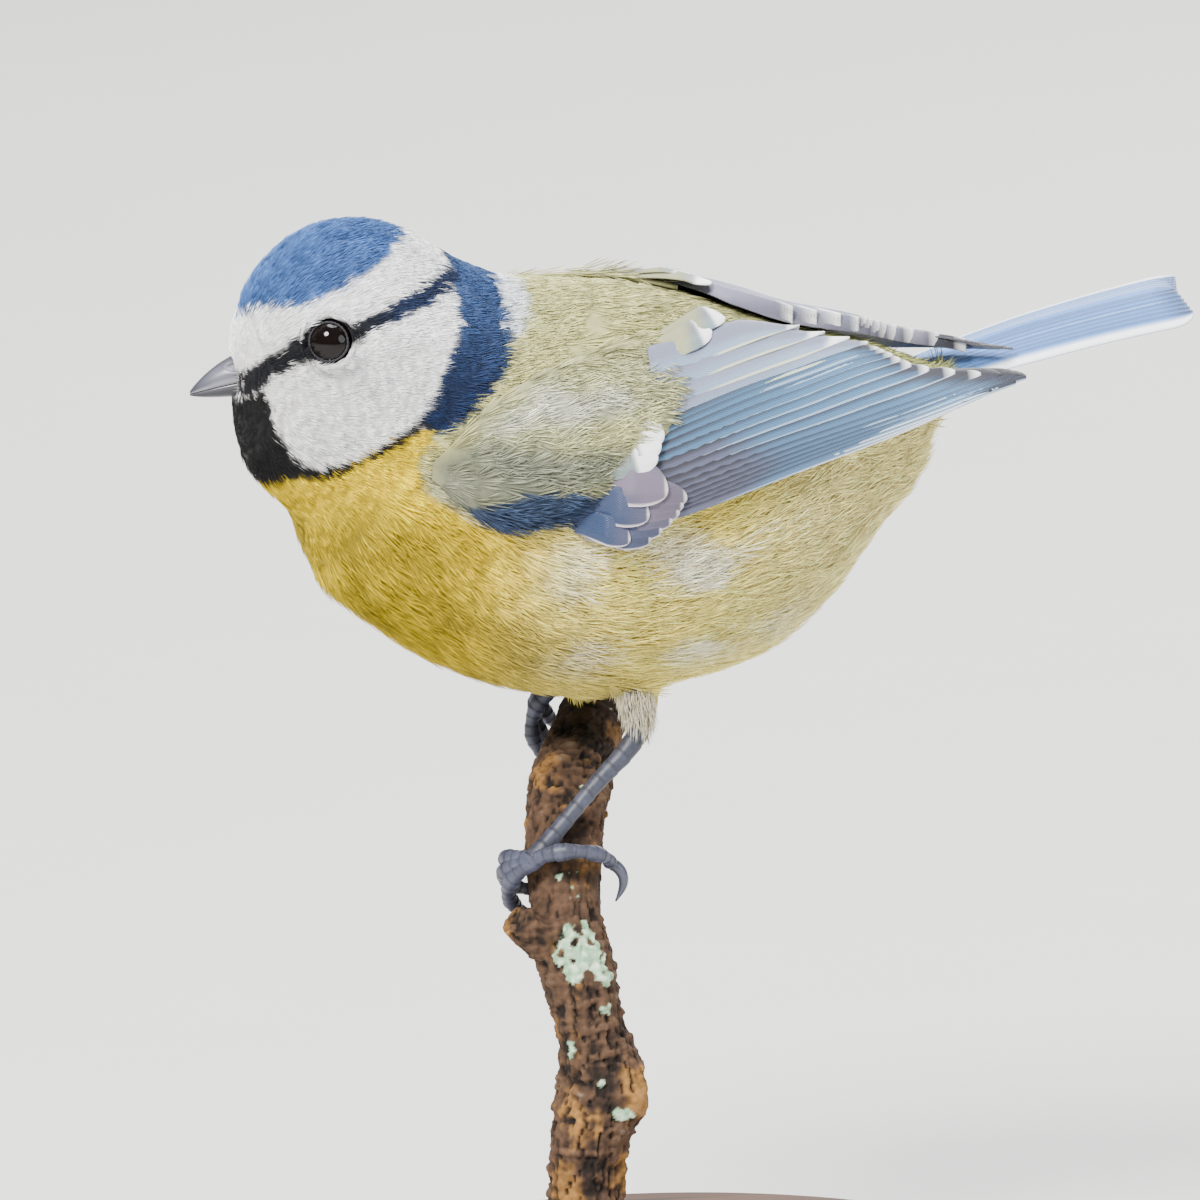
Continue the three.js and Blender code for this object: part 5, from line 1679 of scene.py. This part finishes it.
def makeBranch():
    branch = copyNodes("branch", ["perch"])
    applyModifier(branch, "REMESH", mode="VOXEL", voxel_size=barkSet["voxel"] * mm)
    applyModifier(branch, "SMOOTH", factor=0.5, iterations=barkSet["smoothing"])
    co = readCo(branch.data) / mm
    normal = readNormals(branch.data)
    tree = treeOf(branch.data)
    skip = 6  # the curve is searched in steps of this many points
    guide = perchRun[::skip]
    chunks = np.array_split(co, 40)
    found = [np.argmin(((part[:, None] - guide[None]) ** 2).sum(2), 1) for part in chunks]
    nearest = np.concatenate(found) * skip
    axis = unit(np.gradient(perchRun, axis=0))[nearest]
    length = nearest / (len(perchRun) - 1) * perchLong
    radial = unit(co - perchRun[nearest])
    ref = unit(np.cross(axis, [0.2, 1.0, 0.1]))
    turn = np.arctan2(np.sum(radial * np.cross(axis, ref), 1), np.sum(radial * ref, 1))
    endCut = (length < barkSet["cutDepth"]) | (length > perchLong - barkSet["cutDepth"])
    height = np.where(endCut, 0.04 * wave(co, 0.5, 1.0), barkHeight(co, length, turn))
    lichen = lichenOn(co, tree, endCut)
    height += lichen * (0.10 + 0.22 * np.abs(wave(co, 0.28, 11.0)))
    writeCo(branch.data, (co + normal * (height - 0.10)[:, None]) * mm)
    fromAxis = np.linalg.norm(co - perchRun[nearest], axis=1)
    setTint(branch.data, barkTint(co, height, lichen, endCut, fromAxis))
    smoothShade(branch)
    finishPiece(branch, plumageMaterial("bark", 0.9, 0.0, 0.25, 1600), ["perch"])
    print("branch", len(branch.data.polygons))


# Stand
standSet = {"radius": 42.0, "thick": 6.0, "rodRadius": 2.6, "rodAt": (-15.6, -15.9), "rodTop": 15.4}


def woodMaterial():
    mat, tree, shader = newMaterial("standWood", 0.38)
    coords = addNode(tree, "TexCoord")
    mapping = addNode(tree, "Mapping", {"Scale": (14, 160, 160)})
    noise = addNode(tree, "TexNoise", {"Scale": 2.2, "Detail": 8, "Distortion": 0.6})
    ramp = addNode(tree, "ValToRGB")
    ramp.color_ramp.elements[0].position = 0.35
    ramp.color_ramp.elements[0].color = (*toLinear((48, 34, 27)), 1)
    ramp.color_ramp.elements[1].position = 0.68
    ramp.color_ramp.elements[1].color = (*toLinear((98, 70, 52)), 1)
    link(tree, coords.outputs["Object"], mapping.inputs["Vector"])
    link(tree, mapping.outputs["Vector"], noise.inputs["Vector"])
    link(tree, noise.outputs["Fac"], ramp.inputs["Fac"])
    link(tree, ramp.outputs["Color"], shader.inputs["Base Color"])
    bumpBy(tree, shader, noise.outputs["Fac"], 0.15, 0.0002)
    shader.inputs["Coat Weight"].default_value = 0.3
    shader.inputs["Coat Roughness"].default_value = 0.25
    return mat


def addRound(name, radius, low, high, at, vertices, bevel, segments):  # an upright cylinder, in mm
    clearSelection()
    place = (at[0] * mm, at[1] * mm, (low + (high - low) / 2) * mm)
    bpy.ops.mesh.primitive_cylinder_add(
        vertices=vertices, radius=radius * mm, depth=(high - low) * mm, location=place
    )
    made = bpy.context.object
    made.name = name
    bpy.ops.object.transform_apply(location=True, rotation=True, scale=True)
    applyModifier(made, "BEVEL", width=bevel * mm, segments=segments, limit_method="ANGLE")
    bpy.ops.object.shade_smooth_by_angle(angle=0.6)
    return made


def makeStand():
    s = standSet
    base = addRound("standBase", s["radius"], 0, s["thick"], (0, 0), 128, 0.9, 4)
    finishPiece(base, woodMaterial(), ["stand_base"])
    rod = addRound("standRod", s["rodRadius"], s["thick"], s["rodTop"], s["rodAt"], 64, 0.3, 3)
    steel = plainMaterial("blackenedSteel", (0.03, 0.03, 0.032), 0.35, 0.3)
    finishPiece(rod, steel, ["stand_rod"])


makeCamera()
makeStudio()
print("studio ready")

arms = [makeArm(side) for side in (-1, 1)]
birdBody = copyNodes("bodyGuide", ["head", "neck", "torso"])
traceMarkings(treeOf(birdBody.data), treeOf(arms[0].data))
bpy.data.objects.remove(birdBody, do_unlink=True)
print("markings traced")

featherLook = plumageMaterial("softFeather")
skin = makeSkin()
skinPoints = readCo(skin.data) / mm
setTint(skin.data, plumageAt(skinPoints, np.zeros(len(skinPoints))) * 0.6)
finishPiece(skin, featherLook, fleshNodes)
print("skin made", len(skin.data.polygons))
growCoat(skin, featherLook)
for arm, label in zip(arms, ("Left", "Right")):
    armPoints = readCo(arm.data) / mm
    setTint(arm.data, armTint(armPoints, np.zeros(len(armPoints))) * 0.6)
    finishPiece(arm, featherLook)
    growArm(arm, label, featherLook)
growBristles(featherLook)

vaneLook = vaneMaterial("wingVane", 0.5, 0.36, 0.14)
tailLook = vaneMaterial("tailVane", 0.42, 0.42, 0.10)
for side in (-1, 1):
    makeWing(side, vaneLook)
makeTail(tailLook)
makeEyes()
makeBill()
makeFeet()
growCuffs(featherLook)
makeBranch()
makeStand()
